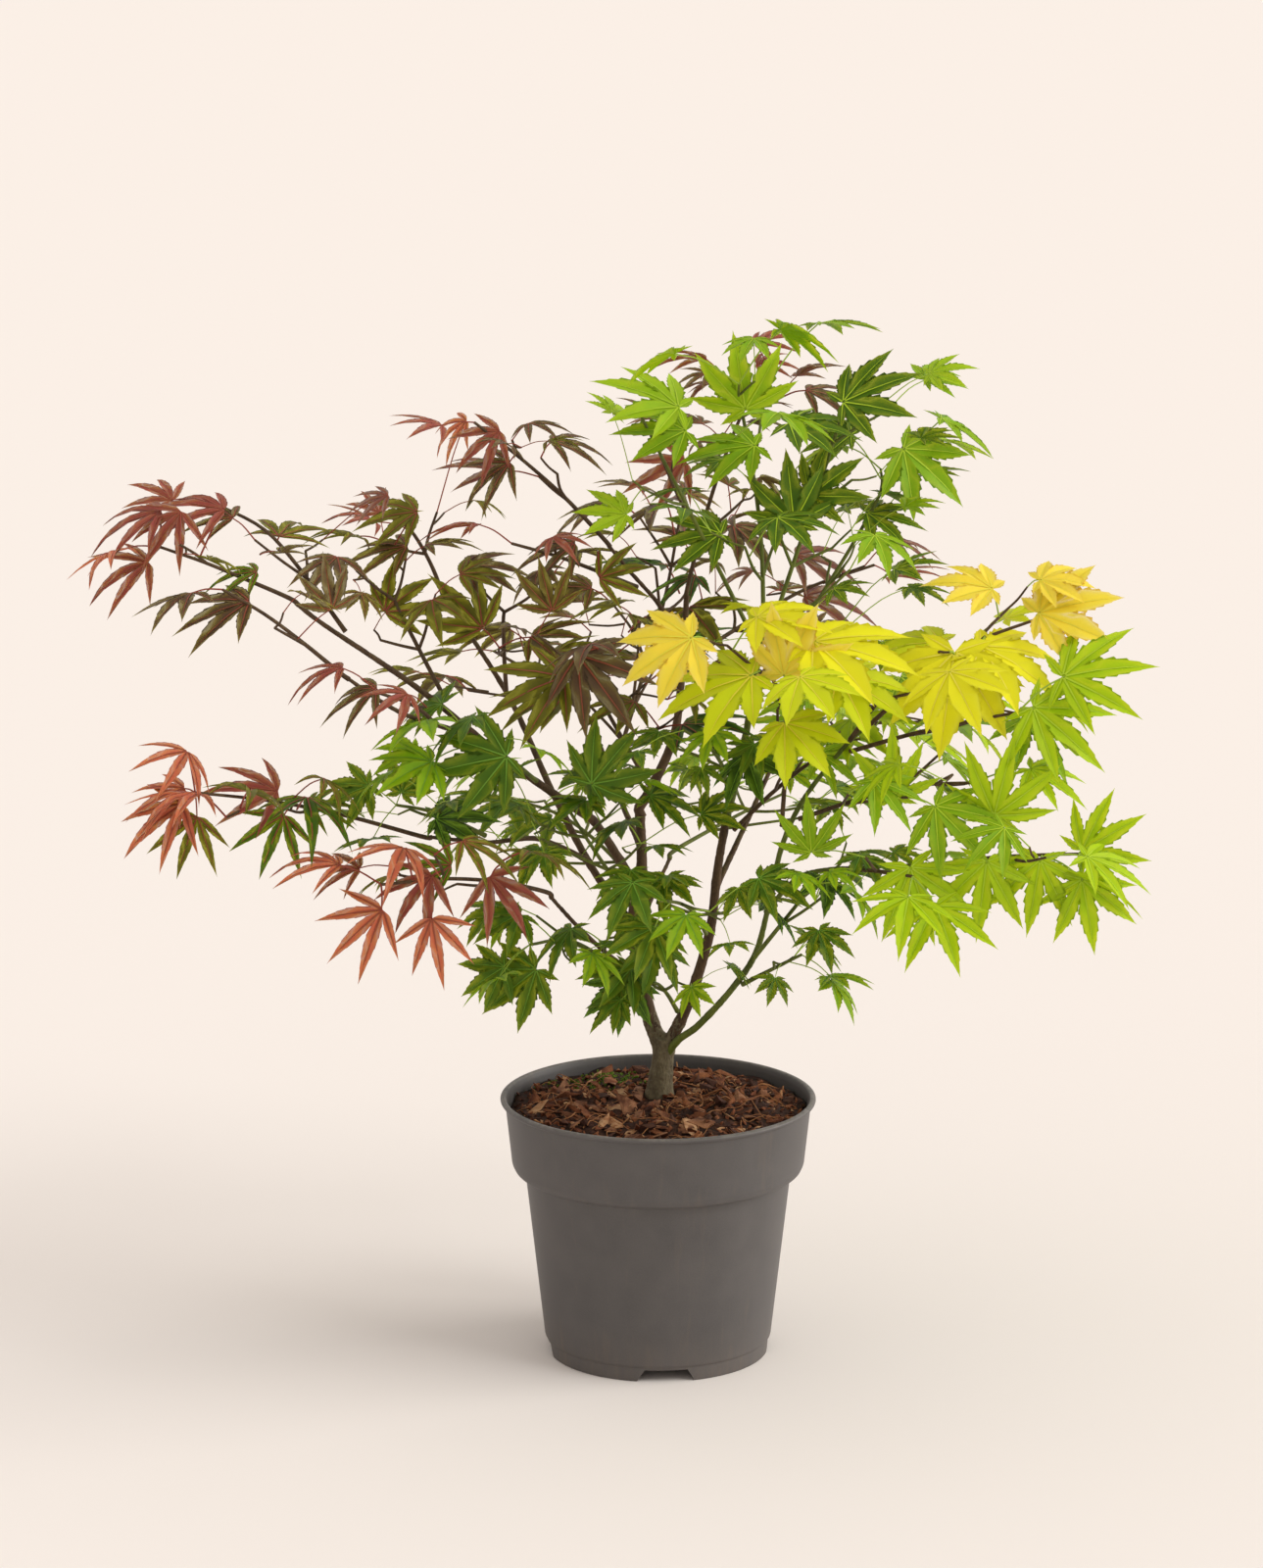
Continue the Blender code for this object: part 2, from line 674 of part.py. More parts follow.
def boolean(obj, operands, operation, solver="EXACT"):
    """Applies one Boolean of a collection to an object, and removes the collection's objects."""
    step = obj.modifiers.new(operation, "BOOLEAN")
    step.operation = operation
    step.operand_type = "COLLECTION"
    step.collection = operands
    step.solver = solver
    mesh = bpy.data.meshes.new_from_object(obj.evaluated_get(bpy.context.evaluated_depsgraph_get()))
    obj.modifiers.remove(step)
    obj.data = mesh
    for helper in list(operands.objects):
        bpy.data.objects.remove(helper)


def keep_largest(obj):
    """Drops every loose scrap but the largest body of a mesh, and joins its level faces."""
    form = bmesh.new()
    form.from_mesh(obj.data)
    left = set(form.faces)
    bodies = []
    while left:
        rim = [left.pop()]
        body = set(rim)
        while rim:
            near = {other for face in rim for edge in face.edges for other in edge.link_faces} - body
            body |= near
            rim = list(near)
        left -= body
        bodies.append(body)
    bodies.sort(key=len)
    for scrap in bodies[:-1]:
        bmesh.ops.delete(form, geom=list(scrap), context="FACES")
    bmesh.ops.dissolve_limit(form, angle_limit=LEVEL_ANGLE, verts=form.verts, edges=form.edges)
    bmesh.ops.triangulate(form, faces=form.faces)
    form.to_mesh(obj.data)
    form.free()


def leaf_outline(leaf):
    """The blade's lobe tips and notches, from one basal lobe round to the other."""
    side = leaf.normal.cross(leaf.axis)
    rims = []
    for (angle, reach), (next_angle, next_reach) in zip(LOBES, LOBES[1:]):
        rims += [(angle, reach), ((angle + next_angle) / 2, leaf.notch * (reach + next_reach) / 2)]
    rims.append(LOBES[-1])
    points = []
    for angle, reach in [(-angle, reach) for angle, reach in reversed(rims[1:])] + rims:
        turn = math.radians(angle)
        out = (leaf.axis * math.cos(turn) + side * math.sin(turn)) * leaf.length * reach
        points.append(leaf.joint + out - leaf.normal * leaf.length * LEAF_SAG * reach**2)
    return points


def leaf_solid(leaf, extra=0.0):
    """(points, faces) of a thin lobed lens on a three-sided stalk, grown by extra for a probe."""
    outline = leaf_outline(leaf)
    stalk = (leaf.joint - leaf.root).normalized()
    half = leaf.normal * (leaf.length * LEAF_THICKNESS / 2 + extra)
    middle = leaf.joint + leaf.axis * leaf.length * BLADE_PEAK
    across = (leaf.normal * stalk.dot(leaf.axis) - leaf.axis * stalk.dot(leaf.normal)).normalized()
    beside = across.cross(stalk)
    start = leaf.root + stalk * (SUNK if extra else 0.0)
    rings = []
    end = leaf.joint - stalk * leaf.length * STALK_END
    for centre, radius in ((end, STALK_RADII[1]), (start, STALK_RADII[0])):
        for turn in (0.0, 120.0, 240.0):
            spoke = across * math.cos(math.radians(turn)) + beside * math.sin(math.radians(turn))
            rings.append(centre + spoke * (radius + extra))
    points = outline + [middle + half, middle - half] + rings
    first, last = 0, len(outline) - 1
    top, bottom, high, plus, minus, root = (len(outline) + k for k in range(6))
    faces = [(top, last, high), (top, high, first)]
    faces += [(bottom, plus, last), (bottom, minus, plus), (bottom, first, minus)]
    for here in range(last):
        faces += [(top, here, here + 1), (bottom, here + 1, here)]
    faces += [(high, last, plus), (minus, first, high)]
    for a, b in ((high, plus), (minus, high), (plus, minus)):
        faces += [(a, b, b + 3), (a, b + 3, a + 3)]
    return points, faces + [(root, root + 1, root + 2)]


# Room between neighbours.


class Room:
    """Everything that is already in place, so that a new leaf or twig can be tried against it."""

    def __init__(self):
        self.placed = []

    def add(self, points, faces):
        """Adds a solid, and returns its number."""
        centre = sum(points, Vector()) / len(points)
        radius = max((point - centre).length for point in points)
        self.placed.append((centre, radius, BVHTree.FromPolygons(points, faces)))
        return len(self.placed) - 1

    def add_object(self, obj):
        self.add([v.co / MM for v in obj.data.vertices], [tuple(f.vertices) for f in obj.data.polygons])

    def free(self, points, faces, skip=()):
        """Whether a probe touches nothing but the solids numbered in skip."""
        centre = sum(points, Vector()) / len(points)
        radius = max((point - centre).length for point in points)
        tree = BVHTree.FromPolygons(points, faces)
        for number, (other, reach, placed) in enumerate(self.placed):
            if number in skip or (centre - other).length > radius + reach:
                continue
            if tree.overlap(placed):
                return False
        return True


def rod(start, end, radius):
    """(points, faces) of a three-sided rod, for a probe."""
    along = (end - start).normalized()
    across = along.orthogonal().normalized()
    points = []
    for centre in (start, end):
        for corner in range(3):
            points.append(centre + Matrix.Rotation(math.tau * corner / 3, 3, along) @ across * radius)
    return points, [(0, 1, 4, 3), (1, 2, 5, 4), (2, 0, 3, 5), (2, 1, 0), (3, 4, 5)]


def joined(*shapes):
    """One (points, faces) of several."""
    points, faces = [], []
    for more_points, more_faces in shapes:
        faces += [tuple(corner + len(points) for corner in face) for face in more_faces]
        points += more_points
    return points, faces


def twig_shape(twig, extra):
    """(points, faces) of a twig's spans."""
    return joined(*(rod(a, b, twig.foot_radius + extra) for a, b in zip(twig.points, twig.points[1:])))


def rerolled(leaf, degrees):
    """The same leaf turned about the upright, for another try."""
    turn = Matrix.Rotation(math.radians(degrees), 3, "Z")
    return replace(leaf, axis=turn @ leaf.axis, normal=turn @ leaf.normal)


# The parts.


def pot_profile():
    """(radius, height) points down the outside, across the underside and up the inside."""
    inner = RIM_RADIUS - LIP_INSET
    outside = [
        (inner + 1.0, POT_HEIGHT),
        (RIM_RADIUS - 0.6, POT_HEIGHT - 0.4),
        (RIM_RADIUS, POT_HEIGHT - 1.4),
        (RIM_RADIUS - 0.5, POT_HEIGHT - 2.8),
        (COLLAR_TOP_RADIUS, POT_HEIGHT - LIP_HEIGHT),
        (COLLAR_FOOT_RADIUS, COLLAR_FOOT_HEIGHT),
        (COLLAR_LIP_RADIUS, COLLAR_LIP_HEIGHT),
        (BODY_TOP_RADIUS, BODY_TOP_HEIGHT),
        (BODY_FOOT_RADIUS, FOOT_HEIGHT),
        (FOOT_RADIUS, FOOT_HEIGHT - 1.0),
        (FOOT_RADIUS - 0.4, 0.0),
    ]
    underside = [
        (CHANNEL_OUTER, 0.0),
        (CHANNEL_OUTER - 1.0, CHANNEL_HEIGHT),
        (CHANNEL_INNER + 1.0, CHANNEL_HEIGHT),
        (CHANNEL_INNER, 0.0),
        (0.0, 0.0),
    ]
    inside = [
        (0.0, CHANNEL_HEIGHT + BASE_THICKNESS),
        (BODY_FOOT_RADIUS - WALL, CHANNEL_HEIGHT + BASE_THICKNESS),
        (BODY_TOP_RADIUS - WALL, BODY_TOP_HEIGHT),
        (COLLAR_FOOT_RADIUS - WALL, COLLAR_FOOT_HEIGHT + WALL),
        (inner - 1.0, POT_HEIGHT - LIP_HEIGHT),
        (inner, POT_HEIGHT - 0.6),
    ]
    return outside + underside + inside + outside[:1]


def turned(name, profile, collection):
    """A solid turned about +Z from a (radius, height) profile, by a Screw modifier."""
    mesh = bpy.data.meshes.new(name)
    points = [(radius * MM, 0.0, height * MM) for radius, height in profile]
    mesh.from_pydata(points, [(k, k + 1) for k in range(len(points) - 1)], [])
    made = add_object(name, mesh, collection)
    screw = made.modifiers.new("turn", "SCREW")
    screw.axis = "Z"
    screw.steps = screw.render_steps = POT_STEPS
    screw.use_merge_vertices = True
    screw.merge_threshold = 0.0000005
    screw.use_smooth_shade = False
    bpy.context.view_layer.update()
    return add_object(name, as_mesh(made, name), collection)


def notch_cutter(angle, collection):
    """A trapezium prism through the foot ring, wider at the bottom."""
    form = bmesh.new()
    bmesh.ops.create_cube(form, size=1.0)
    for corner in form.verts:
        high = corner.co.z > 0
        width = NOTCH_TOP_WIDTH if high else NOTCH_FOOT_WIDTH
        corner.co.x *= width
        corner.co.y = corner.co.y * NOTCH_REACH - (FOOT_RADIUS - NOTCH_INSET)
        corner.co.z = NOTCH_HEIGHT if high else -1.0
    bmesh.ops.transform(form, matrix=Matrix.Rotation(angle, 4, "Z"), verts=form.verts)
    bmesh.ops.scale(form, vec=(MM, MM, MM), verts=form.verts)
    mesh = bpy.data.meshes.new("notch_cutter")
    form.to_mesh(mesh)
    form.free()
    add_object("notch_cutter", mesh, collection)


def drain_cutter(angle, collection):
    """A round cutter for one drain hole in the channel."""
    form = bmesh.new()
    place = Matrix.Translation((0.0, -DRAIN_RING_RADIUS * MM, CHANNEL_HEIGHT * MM))
    place = Matrix.Rotation(angle, 4, "Z") @ place
    radius = DRAIN_HOLE_RADIUS * MM
    bmesh.ops.create_cone(
        form, cap_ends=True, segments=DRAIN_HOLE_SIDES, radius1=radius, radius2=radius,
        depth=(CHANNEL_HEIGHT + BASE_THICKNESS * 2) * MM, matrix=place,
    )
    mesh = bpy.data.meshes.new("drain_cutter")
    form.to_mesh(mesh)
    form.free()
    add_object("drain_cutter", mesh, collection)


def build_pot(parts, cutters):
    pot = turned("pot", pot_profile(), parts)
    for notch in range(DRAIN_NOTCHES):
        angle = NOTCH_TURN + math.tau * notch / DRAIN_NOTCHES
        notch_cutter(angle, cutters)
        drain_cutter(angle, cutters)
    boolean(pot, cutters, "DIFFERENCE")
    pot.data.materials.append(material("pot_plastic", PLASTIC, PLASTIC_ROUGHNESS))
    return pot


def build_soil(parts):
    floor = CHANNEL_HEIGHT + BASE_THICKNESS + CLEAR
    gap = WALL + SOIL_GAP
    share = (SOIL_EDGE - COLLAR_FOOT_HEIGHT) / (POT_HEIGHT - LIP_HEIGHT - COLLAR_FOOT_HEIGHT)
    inner_top = RIM_RADIUS - LIP_INSET - 1.0
    edge = COLLAR_FOOT_RADIUS - WALL + (inner_top - COLLAR_FOOT_RADIUS + WALL) * share - CLEAR * 2
    profile = [
        (0.0, SOIL_TOP),
        (SOIL_TOP_RADIUS, SOIL_TOP),
        ((SOIL_TOP_RADIUS + edge) / 2, (SOIL_TOP + SOIL_EDGE) / 2 + SOIL_SWELL),
        (edge, SOIL_EDGE),
        (COLLAR_FOOT_RADIUS - gap, COLLAR_FOOT_HEIGHT + WALL + SOIL_GAP),
        (BODY_TOP_RADIUS - gap, BODY_TOP_HEIGHT + CLEAR),
        (BODY_FOOT_RADIUS - gap, floor),
        (0.0, floor),
    ]
    soil = turned("soil", profile, parts)
    soil.data.materials.append(material("bark_compost", COMPOST, COMPOST_ROUGHNESS))
    return soil


def limb_radii(limb, count):
    """Radii along a limb: an even taper, with a small swelling where it leaves its parent."""
    radii = []
    for knot in range(count):
        share = knot / (count - 1)
        taper = limb.foot_radius + (limb.tip_radius - limb.foot_radius) * share
        radii.append(taper * (1.0 + LIMB_SWELLING * math.exp(-SWELLING_FADE * share)))
    return radii


def limb_line(limb, parent):
    """A limb's points: on from its parent's tip, or out of the parent's axis."""
    foot, tangent = place_on(parent, limb.at)
    steps = 1 if len(limb.route) > LONG_ROUTE else 2
    if limb.at == 1.0:
        return [foot + tangent * CLEAR, *smooth((foot + tangent * LIMB_COLLAR, *limb.route), steps)]
    return smooth((foot, *limb.route), steps)


def clearance(points):
    """The same line, reaching a gap's width past both ends."""
    start = (points[0] - points[1]).normalized() * CLEAR
    end = (points[-1] - points[-2]).normalized() * CLEAR
    return [points[0] + start, *points[1:-1], points[-1] + end]


def build_limbs(parts, cutters):
    """The trunk and every limb, each cut clear of those that it meets; their axes too."""
    barks = {
        BROWN_BARK: material("brown_bark", BROWN_BARK, BARK_ROUGHNESS),
        GREEN_BARK: material("green_bark", GREEN_BARK, BARK_ROUGHNESS),
    }
    trunk_line = [Vector(point) for point in TRUNK_ROUTE]
    made = [tube("trunk", trunk_line, TRUNK_RADII, TRUNK_SIDES, parts)]
    made[0].data.materials.append(barks[BROWN_BARK])
    lines = {"trunk": (trunk_line, TRUNK_RADII, TRUNK_SIDES)}
    for limb in LIMBS:
        points = limb_line(limb, lines[limb.parent][0])
        radii = limb_radii(limb, len(points))
        sides = THICK_SIDES if limb.foot_radius > THIN_LIMB else THIN_SIDES
        body = tube(limb.name, points, radii, sides, parts)
        if limb.at < 1.0:
            for other, other_radii, other_sides in lines.values():
                reach = max(other_radii) + limb.foot_radius * (1.0 + LIMB_SWELLING) + NEAR
                if min(distance_to(point, other) for point in points) < reach:
                    wider = [radius + CLEAR for radius in other_radii]
                    tube("clearance", clearance(other), wider, other_sides, cutters)
            boolean(body, cutters, "DIFFERENCE")
            keep_largest(body)
        body.data.materials.append(barks[limb.bark])
        lines[limb.name] = (points, radii, sides)
        made.append(body)
    return made, lines


def spray_stem(spray, lines):
    """The axis of a mass's stem: it starts clear of its limb and ends at the route's end."""
    parent, radii, _ = lines[spray.parent]
    foot, tangent = place_on(parent, spray.at)
    if spray.at == 1.0:
        return [foot + tangent * CLEAR, *smooth((foot + tangent * STEM_COLLAR, *spray.route), 4)]
    stem = smooth((foot, *spray.route), 12)
    along = spray.at * (len(radii) - 1)
    limb_radius = max(radii[int(along)], radii[math.ceil(along)])
    for knot, point in enumerate(stem[:-1]):
        lean = abs((stem[knot + 1] - point).normalized().dot(tangent))
        if distance_to(point, parent) > limb_radius + 2.0 * CLEAR + STEM_RADII[0] * lean:
            return stem[knot:]


def tapered(twig):
    """(points, radii) of a twig."""
    last = len(twig.points) - 1
    change = twig.tip_radius - twig.foot_radius
    return twig.points, [twig.foot_radius + change * knot / last for knot in range(last + 1)]


def build_spray(spray, stem, stem_number, room, leaves_so_far, parts, operands):
    """Grows one mass, leaves out what touches a neighbour, and joins the rest in one solid."""
    twigs, leaves = grow(spray, stem)
    numbers = {0: stem_number}
    for index, twig in enumerate(twigs[1:], 1):
        if room.free(*twig_shape(twig, MARGIN), skip={stem_number}):
            numbers[index] = room.add(*twig_shape(twig, 0.0))
    kept = []
    for leaf in leaves:
        if leaf.host not in numbers or crowded(leaf, leaves_so_far):
            continue
        for degrees in REROLLS:
            trial = rerolled(leaf, degrees)
            if room.free(*leaf_solid(trial, MARGIN), skip={numbers[leaf.host]}):
                room.add(*leaf_solid(trial))
                kept.append(trial)
                leaves_so_far.append(trial)
                break
    hosts = {leaf.host for leaf in kept} | {0}
    body = tube(spray.name, *tapered(twigs[0]), 3, parts)
    for index in sorted(hosts - {0}):
        tube("twig", *tapered(twigs[index]), 3, operands)
    for leaf in kept:
        points, faces = leaf_solid(leaf)
        mesh = bpy.data.meshes.new("leaf")
        mesh.from_pydata([point * MM for point in points], [], faces)
        add_object("leaf", mesh, operands)
    boolean(body, operands, "UNION", "MANIFOLD")
    keep_largest(body)
    body.data.materials.clear()
    body.data.materials.append(material(spray.name + "_leaf", spray.tint, LEAF_ROUGHNESS))


def triangle_section():
    """The closed three-cornered section that every twig has, one millimetre round."""
    section = bpy.data.curves.new("triangle", "CURVE")
    section.dimensions = "2D"
    spline = section.splines.new("POLY")
    spline.points.add(2)
    for corner, knot in enumerate(spline.points):
        turn = math.tau * corner / 3
        knot.co = (math.cos(turn) * MM, math.sin(turn) * MM, 0.0, 1.0)
    spline.use_cyclic_u = True
    guide = add_object("triangle", section, bpy.context.scene.collection)
    guide.hide_render = True
    return guide


def main():
    for obj in list(bpy.data.objects):
        bpy.data.objects.remove(obj)
    parts = bpy.data.collections.new("potted_japanese_maple")
    cutters = bpy.data.collections.new("cutters")
    operands = bpy.data.collections.new("operands")
    for collection in (parts, cutters, operands):
        bpy.context.scene.collection.children.link(collection)
    guide = triangle_section()
    room = Room()
    room.add_object(build_pot(parts, cutters))
    room.add_object(build_soil(parts))
    limbs, lines = build_limbs(parts, cutters)
    for limb in limbs:
        room.add_object(limb)
    stems = [stem_knots(spray_stem(spray, lines)) for spray in SPRAYS]
    numbers = [room.add(*twig_shape(Twig(stem, *STEM_RADII), 0.0)) for stem in stems]
    leaves = []
    for spray, stem, number in zip(SPRAYS, stems, numbers):
        build_spray(spray, stem, number, room, leaves, parts, operands)
    bpy.data.objects.remove(guide)
    for helper in (cutters, operands):
        bpy.data.collections.remove(helper)


if __name__ == "__main__":
    main()
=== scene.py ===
"""Looks of a young three-coloured Japanese maple in its grey nursery pot.

The plant is grown here again by its rule, in millimetres: limbs run along short routes, and every
foliage mass is a stem that branches in opposite pairs. Finished meshes are in metres, in the frame
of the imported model, whose solids they stand for.
"""

from __future__ import annotations

import json
import logging
import math
import random
from dataclasses import dataclass, field
from enum import Enum

import bmesh
import bpy
from bmesh.types import BMesh
from bpy.types import Collection, Material, Mesh, Node, NodeInputs, NodeSocket, NodeTree, Object
from mathutils import Matrix, Vector, noise

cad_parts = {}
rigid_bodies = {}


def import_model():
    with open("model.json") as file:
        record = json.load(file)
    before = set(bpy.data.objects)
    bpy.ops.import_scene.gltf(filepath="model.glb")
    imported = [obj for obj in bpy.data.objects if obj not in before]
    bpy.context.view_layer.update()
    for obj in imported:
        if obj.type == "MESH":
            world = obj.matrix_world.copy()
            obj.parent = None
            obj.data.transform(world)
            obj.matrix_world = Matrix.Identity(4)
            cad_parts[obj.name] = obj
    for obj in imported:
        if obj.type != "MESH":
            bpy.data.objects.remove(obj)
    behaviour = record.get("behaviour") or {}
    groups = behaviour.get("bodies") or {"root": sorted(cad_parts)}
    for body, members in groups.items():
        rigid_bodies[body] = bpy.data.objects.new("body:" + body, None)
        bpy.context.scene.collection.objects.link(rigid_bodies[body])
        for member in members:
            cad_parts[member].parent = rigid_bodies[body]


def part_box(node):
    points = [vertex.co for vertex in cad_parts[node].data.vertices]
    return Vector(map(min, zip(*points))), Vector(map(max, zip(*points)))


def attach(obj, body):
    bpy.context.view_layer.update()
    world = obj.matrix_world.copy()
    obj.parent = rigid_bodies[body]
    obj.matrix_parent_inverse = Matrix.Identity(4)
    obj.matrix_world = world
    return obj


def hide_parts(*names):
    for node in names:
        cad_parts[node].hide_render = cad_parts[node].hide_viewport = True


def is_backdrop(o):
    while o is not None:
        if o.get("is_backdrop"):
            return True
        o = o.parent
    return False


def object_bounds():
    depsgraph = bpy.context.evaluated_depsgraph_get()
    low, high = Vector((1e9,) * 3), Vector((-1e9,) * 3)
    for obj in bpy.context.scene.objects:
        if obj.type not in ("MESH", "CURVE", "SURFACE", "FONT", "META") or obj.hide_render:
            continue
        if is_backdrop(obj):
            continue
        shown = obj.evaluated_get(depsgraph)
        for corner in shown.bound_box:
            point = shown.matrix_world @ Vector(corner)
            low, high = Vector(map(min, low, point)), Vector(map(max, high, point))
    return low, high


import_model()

LOG = logging.getLogger("maple")
MM = 0.001
UP = Vector((0.0, 0.0, 1.0))
BODY = "root"

Pair = tuple[float, float]
Triple = tuple[float, float, float]
Line = list[Vector]
Section = list[Pair]
Colour = Triple
Route = tuple[Triple, ...]


def srgb(red: int, green: int, blue: int) -> Colour:
    """A linear colour from the 0 to 255 values that a screen shows."""
    return tuple(
        value / 12.92 if value <= 0.04045 else ((value + 0.055) / 1.055) ** 2.4
        for value in (red / 255.0, green / 255.0, blue / 255.0)
    )


# Node trees.


class Graph:
    """Adds nodes to one node tree and links them."""

    def __init__(self, tree: NodeTree) -> None:
        """Takes the tree that the nodes go in."""
        self.tree = tree

    @staticmethod
    def socket(sockets: NodeInputs, key: str | int) -> NodeSocket:
        """The socket with this number, identifier or name."""
        if isinstance(key, int):
            return sockets[key]
        return next((one for one in sockets if one.identifier == key), None) or sockets[key]

    def add(self, kind: str, inputs: dict | None = None, **settings: object) -> Node:
        """Adds a node.

        Args:
            kind: Blender's name for the node.
            inputs: its inputs, each a value or the socket that feeds it.
            **settings: the node's own settings.

        Returns:
            The node.
        """
        node = self.tree.nodes.new(kind)
        for name, value in settings.items():
            setattr(node, name, value)
        for key, value in (inputs or {}).items():
            target = self.socket(node.inputs, key)
            if isinstance(value, NodeSocket):
                self.tree.links.new(value, target)
            else:
                target.default_value = value
        return node

    def out(self, node: Node, key: str | int = 0) -> NodeSocket:
        """An output socket of a node."""
        return self.socket(node.outputs, key)

    def math(self, operation: str, *values: object) -> NodeSocket:
        """The result of one Math node on values or sockets."""
        return self.add("ShaderNodeMath", dict(enumerate(values)), operation=operation).outputs[0]

    def attribute(self, name: str, data_type: str = "FLOAT") -> NodeSocket:
        """A named attribute, in a geometry tree."""
        return self.add("GeometryNodeInputNamedAttribute", {"Name": name}, data_type=data_type).outputs[0]

    def mix(self, factor: object, first: object, second: object) -> NodeSocket:
        """A mix of two colours."""
        inputs = {"Factor_Float": factor, "A_Color": first, "B_Color": second}
        return self.out(self.add("ShaderNodeMix", inputs, data_type="RGBA"), "Result_Color")

    def ramp(self, factor: object, low: float, high: float) -> NodeSocket:
        """A value stretched from low..high to 0..1, and clamped."""
        inputs = {"Value": factor, "From Min": low, "From Max": high}
        return self.add("ShaderNodeMapRange", inputs).outputs[0]


def new_group(name: str, kind: str, inputs: dict[str, tuple], outputs: dict[str, str]) -> Graph:
    """A node group with named sockets.

    Args:
        name: the group's name.
        kind: "ShaderNodeTree" or "GeometryNodeTree".
        inputs: for each input its socket type, and its default if it has one.
        outputs: the socket type of each output.

    Returns:
        A graph on the group's tree.
    """
    tree = bpy.data.node_groups.new(name, kind)
    for label, (socket_type, *default) in inputs.items():
        made = tree.interface.new_socket(label, in_out="INPUT", socket_type=socket_type)
        if default:
            made.default_value = default[0]
    for label, socket_type in outputs.items():
        tree.interface.new_socket(label, in_out="OUTPUT", socket_type=socket_type)
    return Graph(tree)


def grain_group() -> NodeTree:
    """The grain that every rough surface has: a coarse mottle with fine specks on it."""
    inputs = {
        "Vector": ("NodeSocketVector",),
        "Coarse": ("NodeSocketFloat", 60.0),
        "Fine": ("NodeSocketFloat", 900.0),
        "Fine Share": ("NodeSocketFloat", 0.4),
    }
    graph = new_group("grain", "ShaderNodeTree", inputs, {"Mask": "NodeSocketFloat"})
    given = graph.add("NodeGroupInput")
    noises = []
    for scale in ("Coarse", "Fine"):
        values = {"Vector": given.outputs["Vector"], "Scale": given.outputs[scale], "Detail": 4.0}
        noises.append(graph.ramp(graph.add("ShaderNodeTexNoise", values).outputs[0], 0.30, 0.70))
    blended = graph.add(
        "ShaderNodeMix",
        {"Factor_Float": given.outputs["Fine Share"], "A_Float": noises[0], "B_Float": noises[1]},
    )
    graph.add("NodeGroupOutput", {0: graph.out(blended, "Result_Float")})
    return graph.tree


def dust_group() -> NodeTree:
    """Dust that lies on faces that look up, in patches."""
    inputs = {"Vector": ("NodeSocketVector",), "Patches": ("NodeSocketFloat", 40.0)}
    graph = new_group("dust", "ShaderNodeTree", inputs, {"Mask": "NodeSocketFloat"})
    given = graph.add("NodeGroupInput")
    normal = graph.add("ShaderNodeNewGeometry").outputs["Normal"]
    upward = graph.add("ShaderNodeSeparateXYZ", {0: normal}).outputs[2]
    values = {"Vector": given.outputs["Vector"], "Scale": given.outputs["Patches"], "Detail": 3.0}
    patches = graph.ramp(graph.add("ShaderNodeTexNoise", values).outputs[0], 0.40, 0.65)
    graph.add("NodeGroupOutput", {0: graph.math("MULTIPLY", graph.ramp(upward, 0.1, 0.9), patches)})
    return graph.tree


# Finishes.


class Finishes:
    """The shared shader groups, and the materials that are already made."""

    groups: dict[str, NodeTree] = {}
    made: dict[str, Material] = {}

    @classmethod
    def group(cls, name: str) -> NodeTree:
        """A shared shader group, built once."""
        makers = {"grain": grain_group, "dust": dust_group}
        if name not in cls.groups:
            cls.groups[name] = makers[name]()
        return cls.groups[name]

    @classmethod
    def material(cls, name: str, roughness: float, specular: float = 0.5) -> tuple[Graph, Node]:
        """A new material with a plain shader.

        Args:
            name: the material's name.
            roughness: the shader's roughness.
            specular: its specular level.

        Returns:
            A graph on the material's tree, and its Principled shader.
        """
        made = bpy.data.materials.new(name)
        made.use_nodes = True
        cls.made[name] = made
        shader = made.node_tree.nodes["Principled BSDF"]
        shader.inputs["Roughness"].default_value = roughness
        shader.inputs["Specular IOR Level"].default_value = specular
        return Graph(made.node_tree), shader

    @classmethod
    def place(cls, graph: Graph, name: str, inputs: dict) -> NodeSocket:
        """The first output of a shared group that is placed in a material."""
        return graph.add("ShaderNodeGroup", inputs, node_tree=cls.group(name)).outputs[0]

    @staticmethod
    def bump(graph: Graph, shader: Node, height: object, depth: float, strength: float) -> None:
        """Feeds a height to a shader's normal; its depth is in millimetres."""
        made = graph.add("ShaderNodeBump", {"Height": height, "Distance": depth * MM, "Strength": strength})
        graph.tree.links.new(made.outputs[0], shader.inputs["Normal"])


@dataclass(frozen=True)
class GrainedFinish:
    """A rough natural surface: two colours mixed by grain, with pale dust and a bump."""

    name: str
    dark: Colour
    light: Colour
    dust: Colour
    dusty: float = 0.3
    coarse: float = 60.0
    fine: float = 900.0
    stretch: Triple = (1.0, 1.0, 1.0)
    roughness: float = 0.85
    depth: float = 0.6  # of the bump, in millimetres
    strength: float = 0.8  # of the bump
    fine_share: float = 0.4
    specular: float = 0.3

    def build(self) -> Material:
        """Builds the material, or gives the one that is already there."""
        if self.name in Finishes.made:
            return Finishes.made[self.name]
        graph, shader = Finishes.material(self.name, self.roughness, self.specular)
        place = graph.add("ShaderNodeTexCoord").outputs["Object"]
        mapped = graph.add("ShaderNodeMapping", {"Vector": place, "Scale": self.stretch}).outputs[0]
        values = {"Vector": mapped, "Coarse": self.coarse, "Fine": self.fine, "Fine Share": self.fine_share}
        grain = Finishes.place(graph, "grain", values)
        colour = graph.mix(grain, (*self.dark, 1.0), (*self.light, 1.0))
        lying = Finishes.place(graph, "dust", {"Vector": place, "Patches": self.coarse})
        colour = graph.mix(graph.math("MULTIPLY", lying, self.dusty), colour, (*self.dust, 1.0))
        graph.tree.links.new(colour, shader.inputs["Base Color"])
        Finishes.bump(graph, shader, grain, self.depth, self.strength)
        return Finishes.made[self.name]


